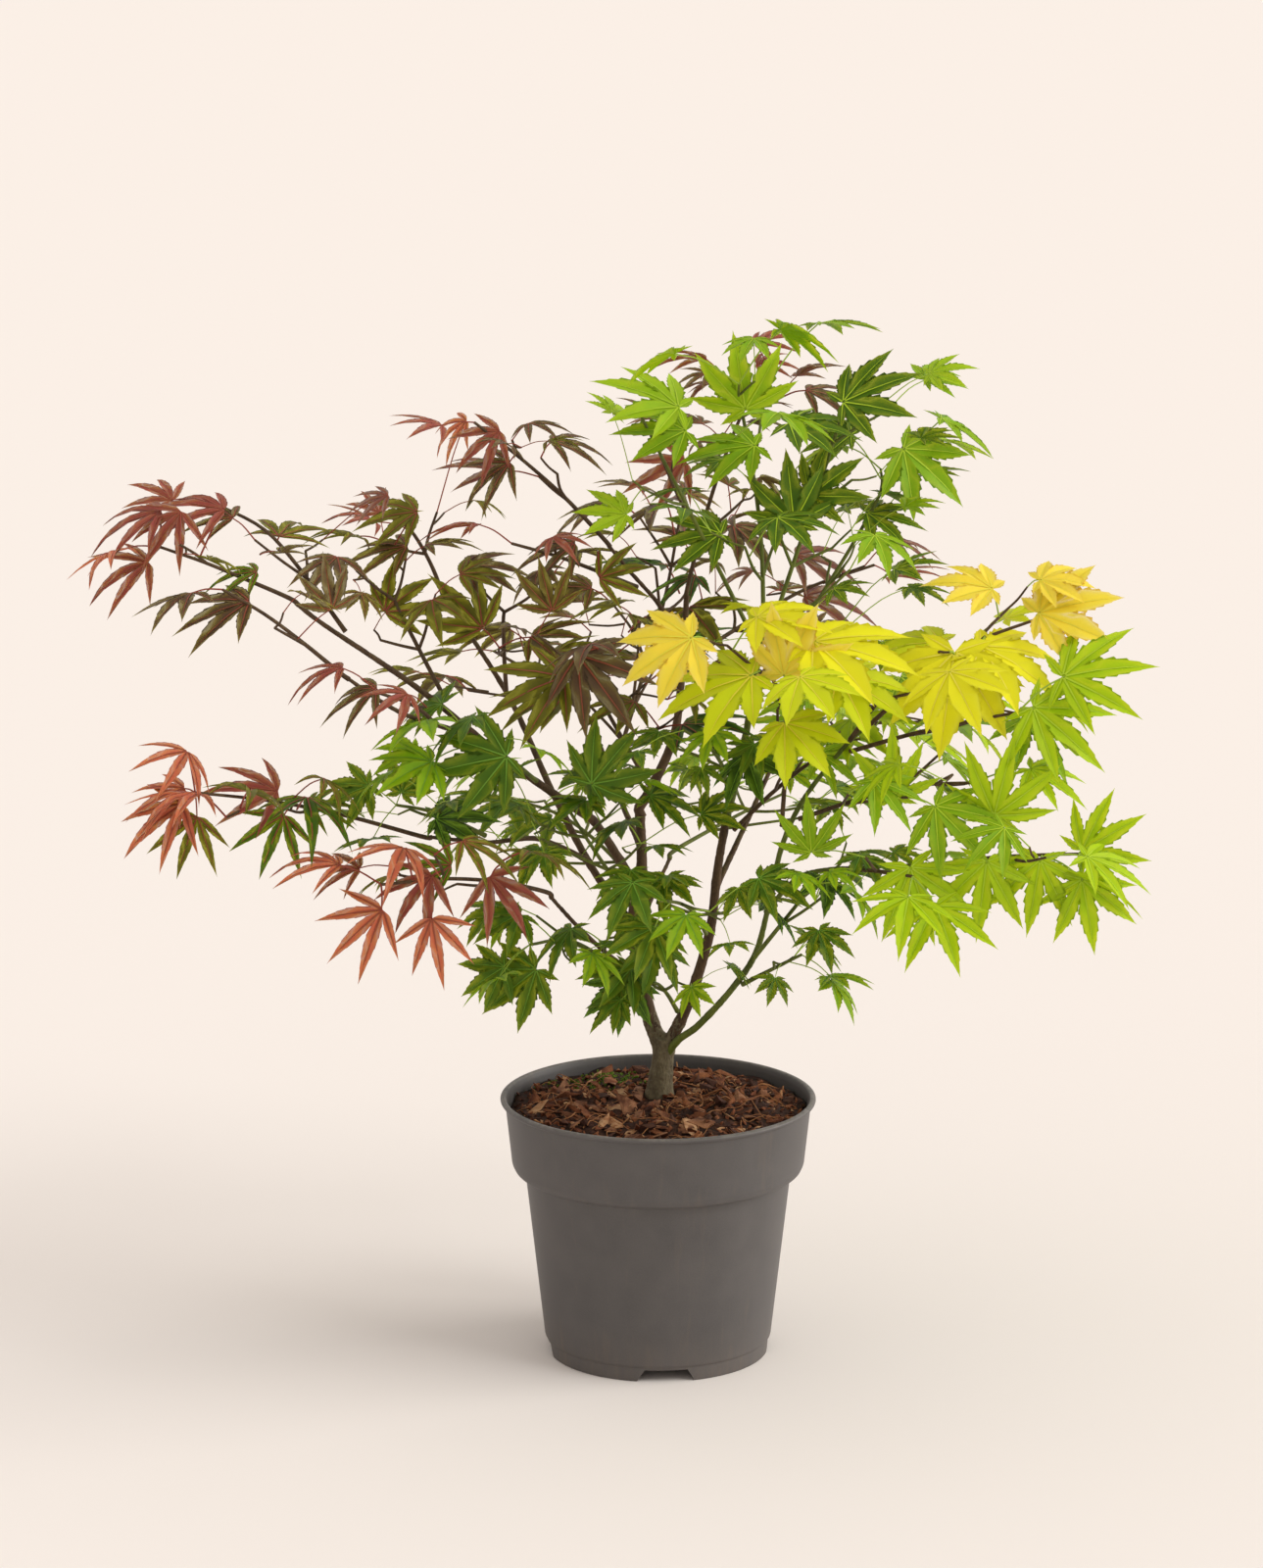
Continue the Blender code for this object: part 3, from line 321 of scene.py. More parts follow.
@dataclass(frozen=True)
class PlasticFinish:
    """Satin moulded plastic, with a fine grain, faint drip marks, a rim edge painted pale as rubbing and a
    painted highlight, and a little dust.
    """

    name: str = "moulded_plastic"
    colour: Colour = srgb(76, 73, 72)
    worn: Colour = srgb(90, 86, 84)
    rim_wear_and_highlight: Colour = srgb(150, 144, 138)
    earth: Colour = srgb(118, 102, 86)
    roughness: float = 0.48
    dull: float = 0.10  # how much rougher the worn spots are
    specular: float = 0.45
    grain: Pair = (45.0, 1500.0)  # coarse and fine
    drips: Pair = (70.0, 300.0)  # coarse and fine
    drip_stretch: float = 0.10
    drip_marks: float = 0.16
    splash_height: float = 0.035  # in metres, like the stretch of the rim's painted highlight
    splash: float = 0.30
    dust_patches: float = 60.0
    dusty: float = 0.20
    # the rim's top edge, painted pale by height: rubbing with a painted highlight
    rim_wear_and_highlight_stretch: Pair = (0.1570, 0.1583)
    rim_wear_and_highlight_share: float = 0.7
    depth: float = 0.08  # of the bump, in millimetres
    strength: float = 0.5  # of the bump

    def build(self) -> Material:
        """Builds the material."""
        graph, shader = Finishes.material(self.name, self.roughness, self.specular)
        place = graph.add("ShaderNodeTexCoord").outputs["Object"]
        stretch = (1.0, 1.0, self.drip_stretch)
        drips = graph.add("ShaderNodeMapping", {"Vector": place, "Scale": stretch}).outputs[0]
        coarse, fine = self.grain
        grain = Finishes.place(graph, "grain", {"Vector": place, "Coarse": coarse, "Fine": fine})
        coarse, fine = self.drips
        values = {"Vector": drips, "Coarse": coarse, "Fine": fine, "Fine Share": 0.5}
        streaks = Finishes.place(graph, "grain", values)
        dust = Finishes.place(graph, "dust", {"Vector": place, "Patches": self.dust_patches})
        height = graph.add("ShaderNodeSeparateXYZ", {0: place}).outputs[2]
        splash = graph.math("MULTIPLY", graph.ramp(height, self.splash_height, 0.0), streaks)
        marks = graph.math("MULTIPLY", graph.ramp(streaks, 0.62, 0.95), self.drip_marks)
        marks = graph.math("ADD", marks, graph.math("MULTIPLY", splash, self.splash))
        marks = graph.math("ADD", marks, graph.math("MULTIPLY", dust, self.dusty))
        # Painted highlight with rubbing: the rim's top edge turns pale, broken by the streaks.
        rim = graph.math("MULTIPLY", graph.ramp(height, *self.rim_wear_and_highlight_stretch), streaks)
        colour = graph.mix(grain, (*self.colour, 1.0), (*self.worn, 1.0))
        colour = graph.mix(marks, colour, (*self.earth, 1.0))
        colour = graph.mix(graph.math("MULTIPLY", rim, self.rim_wear_and_highlight_share), colour, (*self.rim_wear_and_highlight, 1.0))
        rough = graph.math("ADD", self.roughness, graph.math("MULTIPLY", grain, self.dull))
        graph.tree.links.new(colour, shader.inputs["Base Color"])
        graph.tree.links.new(rough, shader.inputs["Roughness"])
        Finishes.bump(graph, shader, grain, self.depth, self.strength)
        return Finishes.made[self.name]


@dataclass(frozen=True)
class LeafSkin:
    """The soft skin of blades, veins and stalks, in one plain colour with a fine grain in its bump."""

    name: str
    colour: Colour
    roughness: float = 0.52
    specular: float = 0.18
    glow: float = 0.3  # how much of the light goes through the skin
    glow_reach: Triple = (1.0, 1.0, 0.4)
    glow_depth: float = 2.0  # in millimetres
    coarse: float = 500.0
    fine: float = 1800.0
    depth: float = 0.12  # of the bump, in millimetres
    strength: float = 0.5  # of the bump

    def build(self) -> Material:
        """Builds the material, or gives the one that is already there."""
        if self.name in Finishes.made:
            return Finishes.made[self.name]
        graph, shader = Finishes.material(self.name, self.roughness, self.specular)
        shader.inputs["Base Color"].default_value = (*self.colour, 1.0)
        shader.inputs["Subsurface Weight"].default_value = self.glow
        shader.inputs["Subsurface Radius"].default_value = self.glow_reach
        shader.inputs["Subsurface Scale"].default_value = self.glow_depth * MM
        place = graph.add("ShaderNodeTexCoord").outputs["Object"]
        grain = Finishes.place(graph, "grain", {"Vector": place, "Coarse": self.coarse, "Fine": self.fine})
        Finishes.bump(graph, shader, grain, self.depth, self.strength)
        return Finishes.made[self.name]


class Tint(Enum):
    """The plain colours of blades, veins and stalks."""

    DEEP_GREEN = srgb(44, 72, 14)
    GREEN = srgb(68, 102, 12)
    FRESH_GREEN = srgb(120, 160, 10)
    LEAF_GREEN = srgb(146, 182, 14)
    LIME = srgb(160, 192, 8)
    YELLOW_LIME = srgb(200, 212, 14)
    GOLD = srgb(226, 220, 22)
    AMBER = srgb(240, 212, 62)
    OLIVE = srgb(94, 92, 18)
    BRONZE = srgb(84, 66, 24)
    BROWN = srgb(88, 66, 44)
    PLUM = srgb(126, 78, 72)
    CRIMSON = srgb(146, 70, 60)
    CORAL = srgb(194, 102, 74)
    GREEN_VEIN = srgb(112, 156, 50)
    LIME_VEIN = srgb(178, 208, 48)
    GOLD_VEIN = srgb(236, 224, 70)
    RED_VEIN = srgb(150, 78, 58)
    GREEN_STALK = srgb(150, 176, 62)
    RED_STALK = srgb(140, 66, 54)

    def build(self) -> Material:
        """The material of this tint."""
        return LeafSkin(self.name.lower(), self.value).build()


# Meshes.


def add_object(name: str, mesh: Mesh, collection: Collection | None = None) -> Object:
    """A new object for a mesh, in the scene's own collection if none is given."""
    made = bpy.data.objects.new(name, mesh)
    (collection or bpy.context.scene.collection).objects.link(made)
    return made


def discard(collection: Collection) -> None:
    """Removes a collection of helpers with its objects."""
    for helper in list(collection.objects):
        bpy.data.objects.remove(helper)
    bpy.data.collections.remove(collection)


def baked(form: BMesh, name: str) -> Mesh:
    """A mesh with what a form holds; the form is freed."""
    mesh = bpy.data.meshes.new(name)
    form.to_mesh(mesh)
    form.free()
    return mesh


def shade_smooth(mesh: Mesh) -> None:
    """Shades all the faces of a mesh smooth."""
    mesh.polygons.foreach_set("use_smooth", [True] * len(mesh.polygons))


def mesh_of(name: str, points: Line, faces: list, edges: list | None = None) -> Mesh:
    """A mesh in metres from points in millimetres."""
    mesh = bpy.data.meshes.new(name)
    mesh.from_pydata([point * MM for point in points], edges or [], faces)
    return mesh


def store(mesh: Mesh, name: str, kind: str, values: list, domain: str = "POINT") -> None:
    """Writes one attribute of a mesh."""
    made = mesh.attributes.new(name, kind, domain)
    flat = [part for value in values for part in value] if kind == "QUATERNION" else values
    made.data.foreach_set("value", flat)


def evaluated(obj: Object, name: str) -> Object:
    """A plain mesh object with the result of an object's modifiers; the object is removed."""
    bpy.context.view_layer.update()
    graph = bpy.context.evaluated_depsgraph_get()
    mesh = bpy.data.meshes.new_from_object(obj.evaluated_get(graph))
    mesh.name = name
    bpy.data.objects.remove(obj)
    return add_object(name, mesh)


def run_tree(obj: Object, tree: NodeTree, values: dict, name: str) -> Object:
    """Runs a geometry tree on an object.

    Args:
        obj: the object that the tree reads; it is removed.
        tree: the geometry tree.
        values: the value of each named input.
        name: the name of the finished piece.

    Returns:
        A plain mesh object.
    """
    step = obj.modifiers.new(name, "NODES")
    step.node_group = tree
    for item in tree.interface.items_tree:
        if item.item_type == "SOCKET" and item.in_out == "INPUT" and item.name in values:
            step[item.identifier] = values[item.name]
    return evaluated(obj, name)


def dress(piece: Object, slot: str, nodes: tuple[str, ...]) -> Object:
    """Makes a finished mesh a piece of the part: it rides and stands for nodes."""
    for attribute in [one.name for one in piece.data.attributes if not one.is_internal]:
        if attribute not in ("position", "sharp_edge", "sharp_face", "material_index"):
            piece.data.attributes.remove(piece.data.attributes[attribute])
    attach(piece, BODY)
    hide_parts(*nodes)
    triangles = sum(len(face.vertices) - 2 for face in piece.data.polygons)
    LOG.info("%s: %d triangles", piece.name, triangles)
    return piece


def close_tree(graph: Graph, geometry: NodeSocket, finish: NodeSocket) -> None:
    """Ends a geometry tree: its instances are realized and it has its material."""
    whole = graph.add("GeometryNodeRealizeInstances", {0: geometry})
    dressed = graph.add("GeometryNodeSetMaterial", {0: whole.outputs[0], "Material": finish})
    graph.add("NodeGroupOutput", {0: dressed.outputs[0]})


def tube_tree() -> NodeTree:
    """The tree that turns lines into round tubes, with relief along their skin.

    Its points carry the attribute radius, in metres.
    """
    inputs = {
        "Lines": ("NodeSocketGeometry",),
        "Sides": ("NodeSocketInt", 8),
        "Relief": ("NodeSocketFloat", 0.0),
        "Grain": ("NodeSocketFloat", 300.0),
        "Finish": ("NodeSocketMaterial",),
    }
    graph = new_group("tubes", "GeometryNodeTree", inputs, {"Mesh": "NodeSocketGeometry"})
    given = graph.add("NodeGroupInput")
    lines = graph.add("GeometryNodeMeshToCurve", {"Mesh": given.outputs["Lines"]})
    values = {"Resolution": given.outputs["Sides"], "Radius": 1.0}
    ring = graph.add("GeometryNodeCurvePrimitiveCircle", values)
    values = {
        "Curve": lines.outputs[0],
        "Profile Curve": ring.outputs[0],
        "Scale": graph.attribute("radius"),
        "Fill Caps": True,
    }
    tubes = graph.add("GeometryNodeCurveToMesh", values)
    skin = graph.add("ShaderNodeTexNoise", {"Scale": given.outputs["Grain"], "Detail": 3.0}).outputs[0]
    lift = graph.math("MULTIPLY", graph.math("SUBTRACT", skin, 0.5), given.outputs["Relief"])
    normal = graph.add("GeometryNodeInputNormal").outputs[0]
    offset = graph.add("ShaderNodeVectorMath", {0: normal, "Scale": lift}, operation="SCALE")
    values = {"Geometry": tubes.outputs[0], "Offset": offset.outputs[0]}
    moved = graph.add("GeometryNodeSetPosition", values)
    soft = graph.add("GeometryNodeSetShadeSmooth", {"Geometry": moved.outputs[0]})
    close_tree(graph, soft.outputs[0], given.outputs["Finish"])
    return graph.tree


@dataclass
class Tubes:
    """Many tubes of one finish, gathered as lines with a radius at each point."""

    name: str
    sides: int
    finish: Material
    relief: float = 0.0
    grain: float = 300.0
    points: Line = field(default_factory=list)
    radii: list[float] = field(default_factory=list)
    edges: list[tuple[int, int]] = field(default_factory=list)

    def add(self, line: Line, radii: list[float]) -> None:
        """Adds one tube."""
        first = len(self.points)
        self.points += line
        self.radii += radii
        self.edges += [(first + k, first + k + 1) for k in range(len(line) - 1)]

    def build(self, tree: NodeTree) -> Object:
        """Makes all the tubes one mesh."""
        mesh = mesh_of(self.name, self.points, [], self.edges)
        store(mesh, "radius", "FLOAT", [radius * MM for radius in self.radii])
        values = {"Sides": self.sides, "Relief": self.relief * MM, "Grain": self.grain, "Finish": self.finish}
        return run_tree(add_object(self.name, mesh), tree, values, self.name)


# Lines.


def smooth(route: Route | Line, steps: int) -> Line:
    """Points of the Catmull-Rom curve through a route, ends included."""
    points = [Vector(point) for point in route]
    padded = [2 * points[0] - points[1], *points, 2 * points[-1] - points[-2]]
    curve = []
    for a, b, c, d in zip(padded, padded[1:], padded[2:], padded[3:]):
        for step in range(steps):
            t = step / steps
            bend = (c - a) * t + (2 * a - 5 * b + 4 * c - d) * t**2 + (3 * b - a - 3 * c + d) * t**3
            curve.append(b + 0.5 * bend)
    return curve + [points[-1]]


def place_on(points: Line, share: float) -> tuple[Vector, Vector]:
    """The point and the tangent at a share of the length of a line."""
    spans = [(b - a).length for a, b in zip(points, points[1:])]
    left = share * sum(spans)
    for a, b, span in zip(points, points[1:], spans):
        if left <= span or b is points[-1]:
            return a.lerp(b, min(left / span, 1.0)), (b - a).normalized()
        left -= span
    raise ValueError("a line needs two points")


def length_of(points: Line) -> float:
    """The length of a line."""
    return sum((b - a).length for a, b in zip(points, points[1:]))


def taper(foot: float, tip: float, count: int) -> list[float]:
    """Radii that go evenly from a foot to a tip, over a number of steps."""
    return [foot + (tip - foot) * knot / count for knot in range(count + 1)]


def evenly(points: Line, gap: float) -> Line:
    """The same line with its points a given gap apart."""
    count = max(2, round(length_of(points) / gap))
    return [place_on(points, knot / count)[0] for knot in range(count + 1)]


def distance_to(point: Vector, line: Line) -> float:
    """The shortest distance from a point to a line."""
    best = math.inf
    for a, b in zip(line, line[1:]):
        along = max(0.0, min(1.0, (point - a).dot(b - a) / (b - a).length_squared))
        best = min(best, (point - a.lerp(b, along)).length)
    return best


def level_side(tangent: Vector) -> Vector:
    """The level direction square to a tangent, or +X for an upright one."""
    side = tangent.cross(UP)
    return side.normalized() if side.length > 0.2 else Vector((1.0, 0.0, 0.0))


# Studio.


@dataclass(frozen=True)
class Lamp:
    """A soft lamp, far away, that shines from one side on everything."""

    name: str
    side: float  # degrees from +X towards +Y
    height: float  # degrees above the level
    spread: float  # degrees
    power: float
    colour: Colour = (1.0, 1.0, 1.0)


@dataclass
class Studio:
    """A pale floor that fills the view, soft light and the camera; sizes in metres."""

    floor_radius: float = 40.0
    floor_colour: Colour = srgb(243, 236, 230)
    floor_roughness: float = 0.9
    sky: Colour = (1.0, 0.945, 0.90)
    sky_power: float = 0.76
    eye: Triple = (-0.016, -3.0, 1.018)
    pitch: float = math.radians(12.55)
    focal_pixels: float = 5286.0
    frame_width: int = 1289
    frame_height: int = 1600
    sensor: float = 36.0
    lamps: tuple[Lamp, ...] = (
        Lamp("key", -30.0, 40.0, 26.0, 0.85, (0.98, 0.99, 1.0)),
        Lamp("side", 4.0, 17.0, 36.0, 1.6, (1.0, 0.98, 0.96)),
    )

    def build(self) -> None:
        """Makes the floor, the light and the camera."""
        scene = bpy.context.scene
        scene.view_settings.view_transform = "Standard"
        self.build_floor()
        world = bpy.data.worlds.new("studio")
        world.use_nodes = True
        background = world.node_tree.nodes["Background"]
        background.inputs["Color"].default_value = (*self.sky, 1.0)
        background.inputs["Strength"].default_value = self.sky_power
        scene.world = world
        for lamp in self.lamps:
            self.build_lamp(lamp)
        lens = bpy.data.cameras.new("camera")
        lens.sensor_width = self.sensor
        lens.lens = self.focal_pixels / self.frame_height * self.sensor
        camera = bpy.data.objects.new("camera", lens)
        camera.location = self.eye
        camera.rotation_euler = (math.pi / 2 - self.pitch, 0.0, 0.0)
        scene.collection.objects.link(camera)
        scene.camera = camera

    def point_seen(self, sight: tuple[int, int], depth: float) -> Vector:
        """The point that the camera sees at a pixel of its frame.

        Args:
            sight: the pixel, counted from the top left.
            depth: the point's place from front to back, in millimetres.

        Returns:
            The point, in whole millimetres.
        """
        ahead = Vector((0.0, math.cos(self.pitch), -math.sin(self.pitch))) * self.focal_pixels
        across = Vector((sight[0] - self.frame_width / 2, 0.0, 0.0))
        upwards = Vector((0.0, math.sin(self.pitch), math.cos(self.pitch)))
        ray = ahead + across + upwards * (self.frame_height / 2 - sight[1])
        eye = Vector(self.eye) / MM
        return Vector([round(side) for side in eye + ray * ((depth - eye.y) / ray.y)])

    def build_floor(self) -> None:
        """A round pale floor."""
        form = bmesh.new()
        bmesh.ops.create_circle(form, cap_ends=True, segments=64, radius=self.floor_radius)
        floor = add_object("floor", baked(form, "floor"))
        _, shader = Finishes.material("pale_floor", self.floor_roughness, 0.0)
        shader.inputs["Base Color"].default_value = (*self.floor_colour, 1.0)
        floor.data.materials.append(Finishes.made["pale_floor"])
        floor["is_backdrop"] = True

    @staticmethod
    def build_lamp(lamp: Lamp) -> None:
        """A soft sun."""
        light = bpy.data.lights.new(lamp.name, "SUN")
        light.angle = math.radians(lamp.spread)
        light.energy = lamp.power
        light.color = lamp.colour
        made = bpy.data.objects.new(lamp.name, light)
        side, height = math.radians(lamp.side), math.radians(lamp.height)
        level = Vector((math.cos(side), math.sin(side), 0.0))
        towards = level * math.cos(height) + UP * math.sin(height)
        made.rotation_euler = towards.to_track_quat("Z", "Y").to_euler()
        bpy.context.scene.collection.objects.link(made)


# Pot and compost.


def circle(radius: float, height: float, steps: int) -> Line:
    """Points of a level circle round the axis."""
    turns = [math.tau * step / steps for step in range(steps)]
    return [Vector((radius * math.cos(turn), radius * math.sin(turn), height)) for turn in turns]


def rounded(profile: Section, radius: float, steps: int = 3) -> Section:
    """A (radius, height) profile with its inner corners rounded."""
    points = [Vector(point) for point in profile]
    soft = [points[0]]
    for before, corner, after in zip(points, points[1:], points[2:]):
        ends = []
        for other in (before, after):
            edge = other - corner
            ends.append(corner + edge.normalized() * min(radius, edge.length * 0.45))
        for step in range(steps + 1):
            t = step / steps
            soft.append(ends[0] * (1 - t) ** 2 + corner * 2 * t * (1 - t) + ends[1] * t**2)
    return [tuple(point) for point in [*soft, points[-1]]]


def turned(name: str, profile: Section, steps: int) -> Mesh:
    """A closed mesh turned about +Z from a profile whose two ends lie on the axis."""
    points = [Vector((0.0, 0.0, profile[0][1])), Vector((0.0, 0.0, profile[-1][1]))]
    rings = []
    for radius, height in profile[1:-1]:
        rings.append(len(points))
        points += circle(radius, height, steps)
    faces = []
    for step in range(steps):
        after = (step + 1) % steps
        faces.append((0, rings[0] + after, rings[0] + step))
        faces.append((1, rings[-1] + step, rings[-1] + after))
        for low, high in zip(rings, rings[1:]):
            faces.append((low + step, low + after, high + after, high + step))
    form = bmesh.new()
    form.from_mesh(mesh_of(name, points, faces))
    bmesh.ops.recalc_face_normals(form, faces=form.faces)
    return baked(form, name)


@dataclass
class NurseryPot:
    """The thin-walled pot with its collar, foot ring, drain notches and drain holes."""

    rim_radius: float = 95.0
    height: float = 158.5
    wall: float = 1.6
    base: float = 2.0
    channel_height: float = 6.0
    channel: Pair = (34.0, 62.0)
    foot: Pair = (67.2, 10.0)  # radius and height
    body: Pair = (68.5, 80.0)  # radii at the foot and under the collar
    body_height: float = 111.5
    collar: Pair = (88.0, 92.0)
    collar_foot: float = 118.0
    collar_lip: Pair = (86.3, 114.3)  # radius and height
    # The rolled lip, from outside to inside, measured out and up from the rim's top edge.
    lip: tuple[Pair, ...] = (
        (-3.0, -3.6), (-0.5, -2.8), (0.0, -1.4), (-0.6, -0.4), (-2.6, 0.0), (-3.6, -0.6), (-4.6, -3.6),
    )
    notch: Triple = (36.0, 25.6, 7.5)  # width at the foot and at the top, and height
    notch_overrun: Pair = (3.0, 14.0)  # of its cutter: its shift inwards, and how much longer
    notch_turn: float = math.radians(4.0)
    hole_radius: float = 4.0
    hole_ring: float = 48.0
    steps: int = 160
    corner: float = 1.1
    crease: float = math.radians(35.0)  # edges sharper than this stay sharp

    def profile(self) -> Section:
        """From the middle of the underside, up the outside and down the inside."""
        floor = self.channel_height + self.base
        return [
            (0.0, 0.0),
            (self.channel[0], 0.0),
            (self.channel[0] + 1.0, self.channel_height),
            (self.channel[1] - 1.0, self.channel_height),
            (self.channel[1], 0.0),
            (self.foot[0] - 0.4, 0.0),
            (self.foot[0], self.foot[1] - 1.0),
            (self.body[0], self.foot[1]),
            (self.body[1], self.body_height),
            self.collar_lip,
            (self.collar[0], self.collar_foot),
            *((self.rim_radius + out, self.height + up) for out, up in self.lip),
            (self.collar[0] - self.wall, self.collar_foot + self.wall),
            (self.body[1] - self.wall, self.body_height),
            (self.body[0] - self.wall, floor),
            (0.0, floor),
        ]

    def build(self) -> Object:
        """Turns the pot, cuts its notches and holes, and dresses it."""
        profile = rounded(self.profile(), self.corner)
        pot = add_object("nursery_pot", turned("nursery_pot", profile, self.steps))
        cutters = bpy.data.collections.new("cutters")
        for quarter in range(4):
            turn = Matrix.Rotation(self.notch_turn + quarter * math.pi / 2, 4, "Z")
            self.notch_cutter(turn, cutters)
            self.hole_cutter(turn, cutters)
        cut = pot.modifiers.new("cut", "BOOLEAN")
        cut.operand_type = "COLLECTION"
        cut.collection = cutters
        cut.solver = "EXACT"
        pot = evaluated(pot, "nursery_pot_plastic")
        discard(cutters)
        pot.data.materials.clear()
        pot.data.materials.append(PlasticFinish().build())
        shade_smooth(pot.data)
        pot.data.set_sharp_from_angle(angle=self.crease)
        return dress(pot, "pot_plastic", ("pot",))

    def notch_cutter(self, turn: Matrix, cutters: Collection) -> None:
        """A trapezium prism through the foot ring, wider at the bottom."""
        foot_width, top_width, height = self.notch
        shift, longer = self.notch_overrun
        form = bmesh.new()
        bmesh.ops.create_cube(form, size=1.0)
        for corner in form.verts:
            high = corner.co.z > 0
            corner.co.x *= top_width if high else foot_width
            corner.co.y = corner.co.y * (self.foot[0] - self.channel[1] + longer) - (self.foot[0] - shift)
            corner.co.z = height if high else -1.0
        self.place_cutter(form, "notch_cutter", turn, cutters)

    def hole_cutter(self, turn: Matrix, cutters: Collection) -> None:
        """A round cutter for one drain hole."""
        form = bmesh.new()
        place = Matrix.Translation((0.0, -self.hole_ring, self.channel_height))
        radius = self.hole_radius
        bmesh.ops.create_cone(form, cap_ends=True, segments=24, radius1=radius, radius2=radius, depth=10.0)
        self.place_cutter(form, "hole_cutter", turn @ place, cutters)

    @staticmethod
    def place_cutter(form: BMesh, name: str, place: Matrix, cutters: Collection) -> None:
        """Puts a cutter's mesh in its place, in metres."""
        bmesh.ops.transform(form, matrix=Matrix.Scale(MM, 4) @ place, verts=form.verts)
        add_object(name, baked(form, name), cutters)


def strew_tree() -> NodeTree:
    """The tree that strews small forms over a surface, by its attribute room."""
    inputs = {
        "Surface": ("NodeSocketGeometry",),
        "Forms": ("NodeSocketCollection",),
        "Spacing": ("NodeSocketFloat", 0.005),
        "Seed": ("NodeSocketInt", 1),
        "Smallest": ("NodeSocketFloat", 0.6),
        "Largest": ("NodeSocketFloat", 1.3),
        "Tilt": ("NodeSocketFloat", 0.5),
        "Finish": ("NodeSocketMaterial",),
    }
    graph = new_group("strew", "GeometryNodeTree", inputs, {"Mesh": "NodeSocketGeometry"})
    given = graph.add("NodeGroupInput")
    seed, tilt = given.outputs["Seed"], given.outputs["Tilt"]

    def chance(data_type: str, names: tuple[str, str], low: object, high: object) -> Node:
        """A random value between two bounds."""
        values = {names[0]: low, names[1]: high, "Seed": seed}
        return graph.add("FunctionNodeRandomValue", values, data_type=data_type)

    values = {
        "Mesh": given.outputs["Surface"],
        "Distance Min": given.outputs["Spacing"],
        "Density Max": 200000.0,
        "Density Factor": graph.attribute("room"),
        "Seed": seed,
    }
    points = graph.add("GeometryNodeDistributePointsOnFaces", values, distribute_method="POISSON")
    values = {"Collection": given.outputs["Forms"], "Separate Children": True, "Reset Children": True}
    forms = graph.add("GeometryNodeCollectionInfo", values)
    back = graph.math("MULTIPLY", tilt, -1.0)
    low = graph.add("ShaderNodeCombineXYZ", {0: back, 1: back}).outputs[0]
    high = graph.add("ShaderNodeCombineXYZ", {0: tilt, 1: tilt, 2: math.tau}).outputs[0]
    turn = chance("FLOAT_VECTOR", ("Min", "Max"), low, high)
    size = chance("FLOAT", ("Min_001", "Max_001"), given.outputs["Smallest"], given.outputs["Largest"])
    pick = chance("INT", ("Min_002", "Max_002"), 0, 99)
    values = {
        "Points": points.outputs["Points"],
        "Instance": forms.outputs[0],
        "Pick Instance": True,
        "Instance Index": pick.outputs[2],
        "Rotation": graph.add("FunctionNodeEulerToRotation", {0: turn.outputs[0]}).outputs[0],
        "Scale": size.outputs[1],
    }
    placed = graph.add("GeometryNodeInstanceOnPoints", values)
    close_tree(graph, placed.outputs[0], given.outputs["Finish"])
    return graph.tree


@dataclass(frozen=True)
class Strewn:
    """One kind of small thing on the compost."""

    name: str
    box: Triple  # length, width and thickness of the form, in millimetres
    spacing: float
    reach: float  # how far out its middles may lie
    tilt: float
    share: float
    finish: GrainedFinish
    seed: int
    moss: bool = False


CHIP_RED = GrainedFinish(
    "red_bark_chip", srgb(66, 36, 24), srgb(150, 94, 62), srgb(190, 142, 104), 0.4, 150.0, 1500.0
)
CHIP_RUST = GrainedFinish(
    "rusty_bark_chip", srgb(60, 28, 16), srgb(150, 86, 50), srgb(186, 128, 84), 0.3, 120.0, 1500.0
)
CHIP_DARK = GrainedFinish(
    "dark_bark_chip", srgb(38, 22, 18), srgb(92, 54, 38), srgb(120, 86, 62), 0.25, 160.0, 1400.0
)
CHIP_TAN = GrainedFinish(
    "tan_bark_chip", srgb(146, 92, 58), srgb(204, 156, 112), srgb(214, 180, 140), 0.4, 220.0, 1600.0
)
PEAT = GrainedFinish(
    "peat", srgb(26, 15, 12), srgb(70, 40, 28), srgb(96, 62, 44), 0.3, 220.0, 1800.0, depth=1.2
)
FIBRE = GrainedFinish("coir_fibre", srgb(122, 72, 42), srgb(186, 130, 84), srgb(200, 150, 100), 0.2, 200.0)
MOSS = GrainedFinish("moss", srgb(52, 76, 14), srgb(112, 138, 34), srgb(142, 152, 60), 0.3, 260.0, 1600.0)


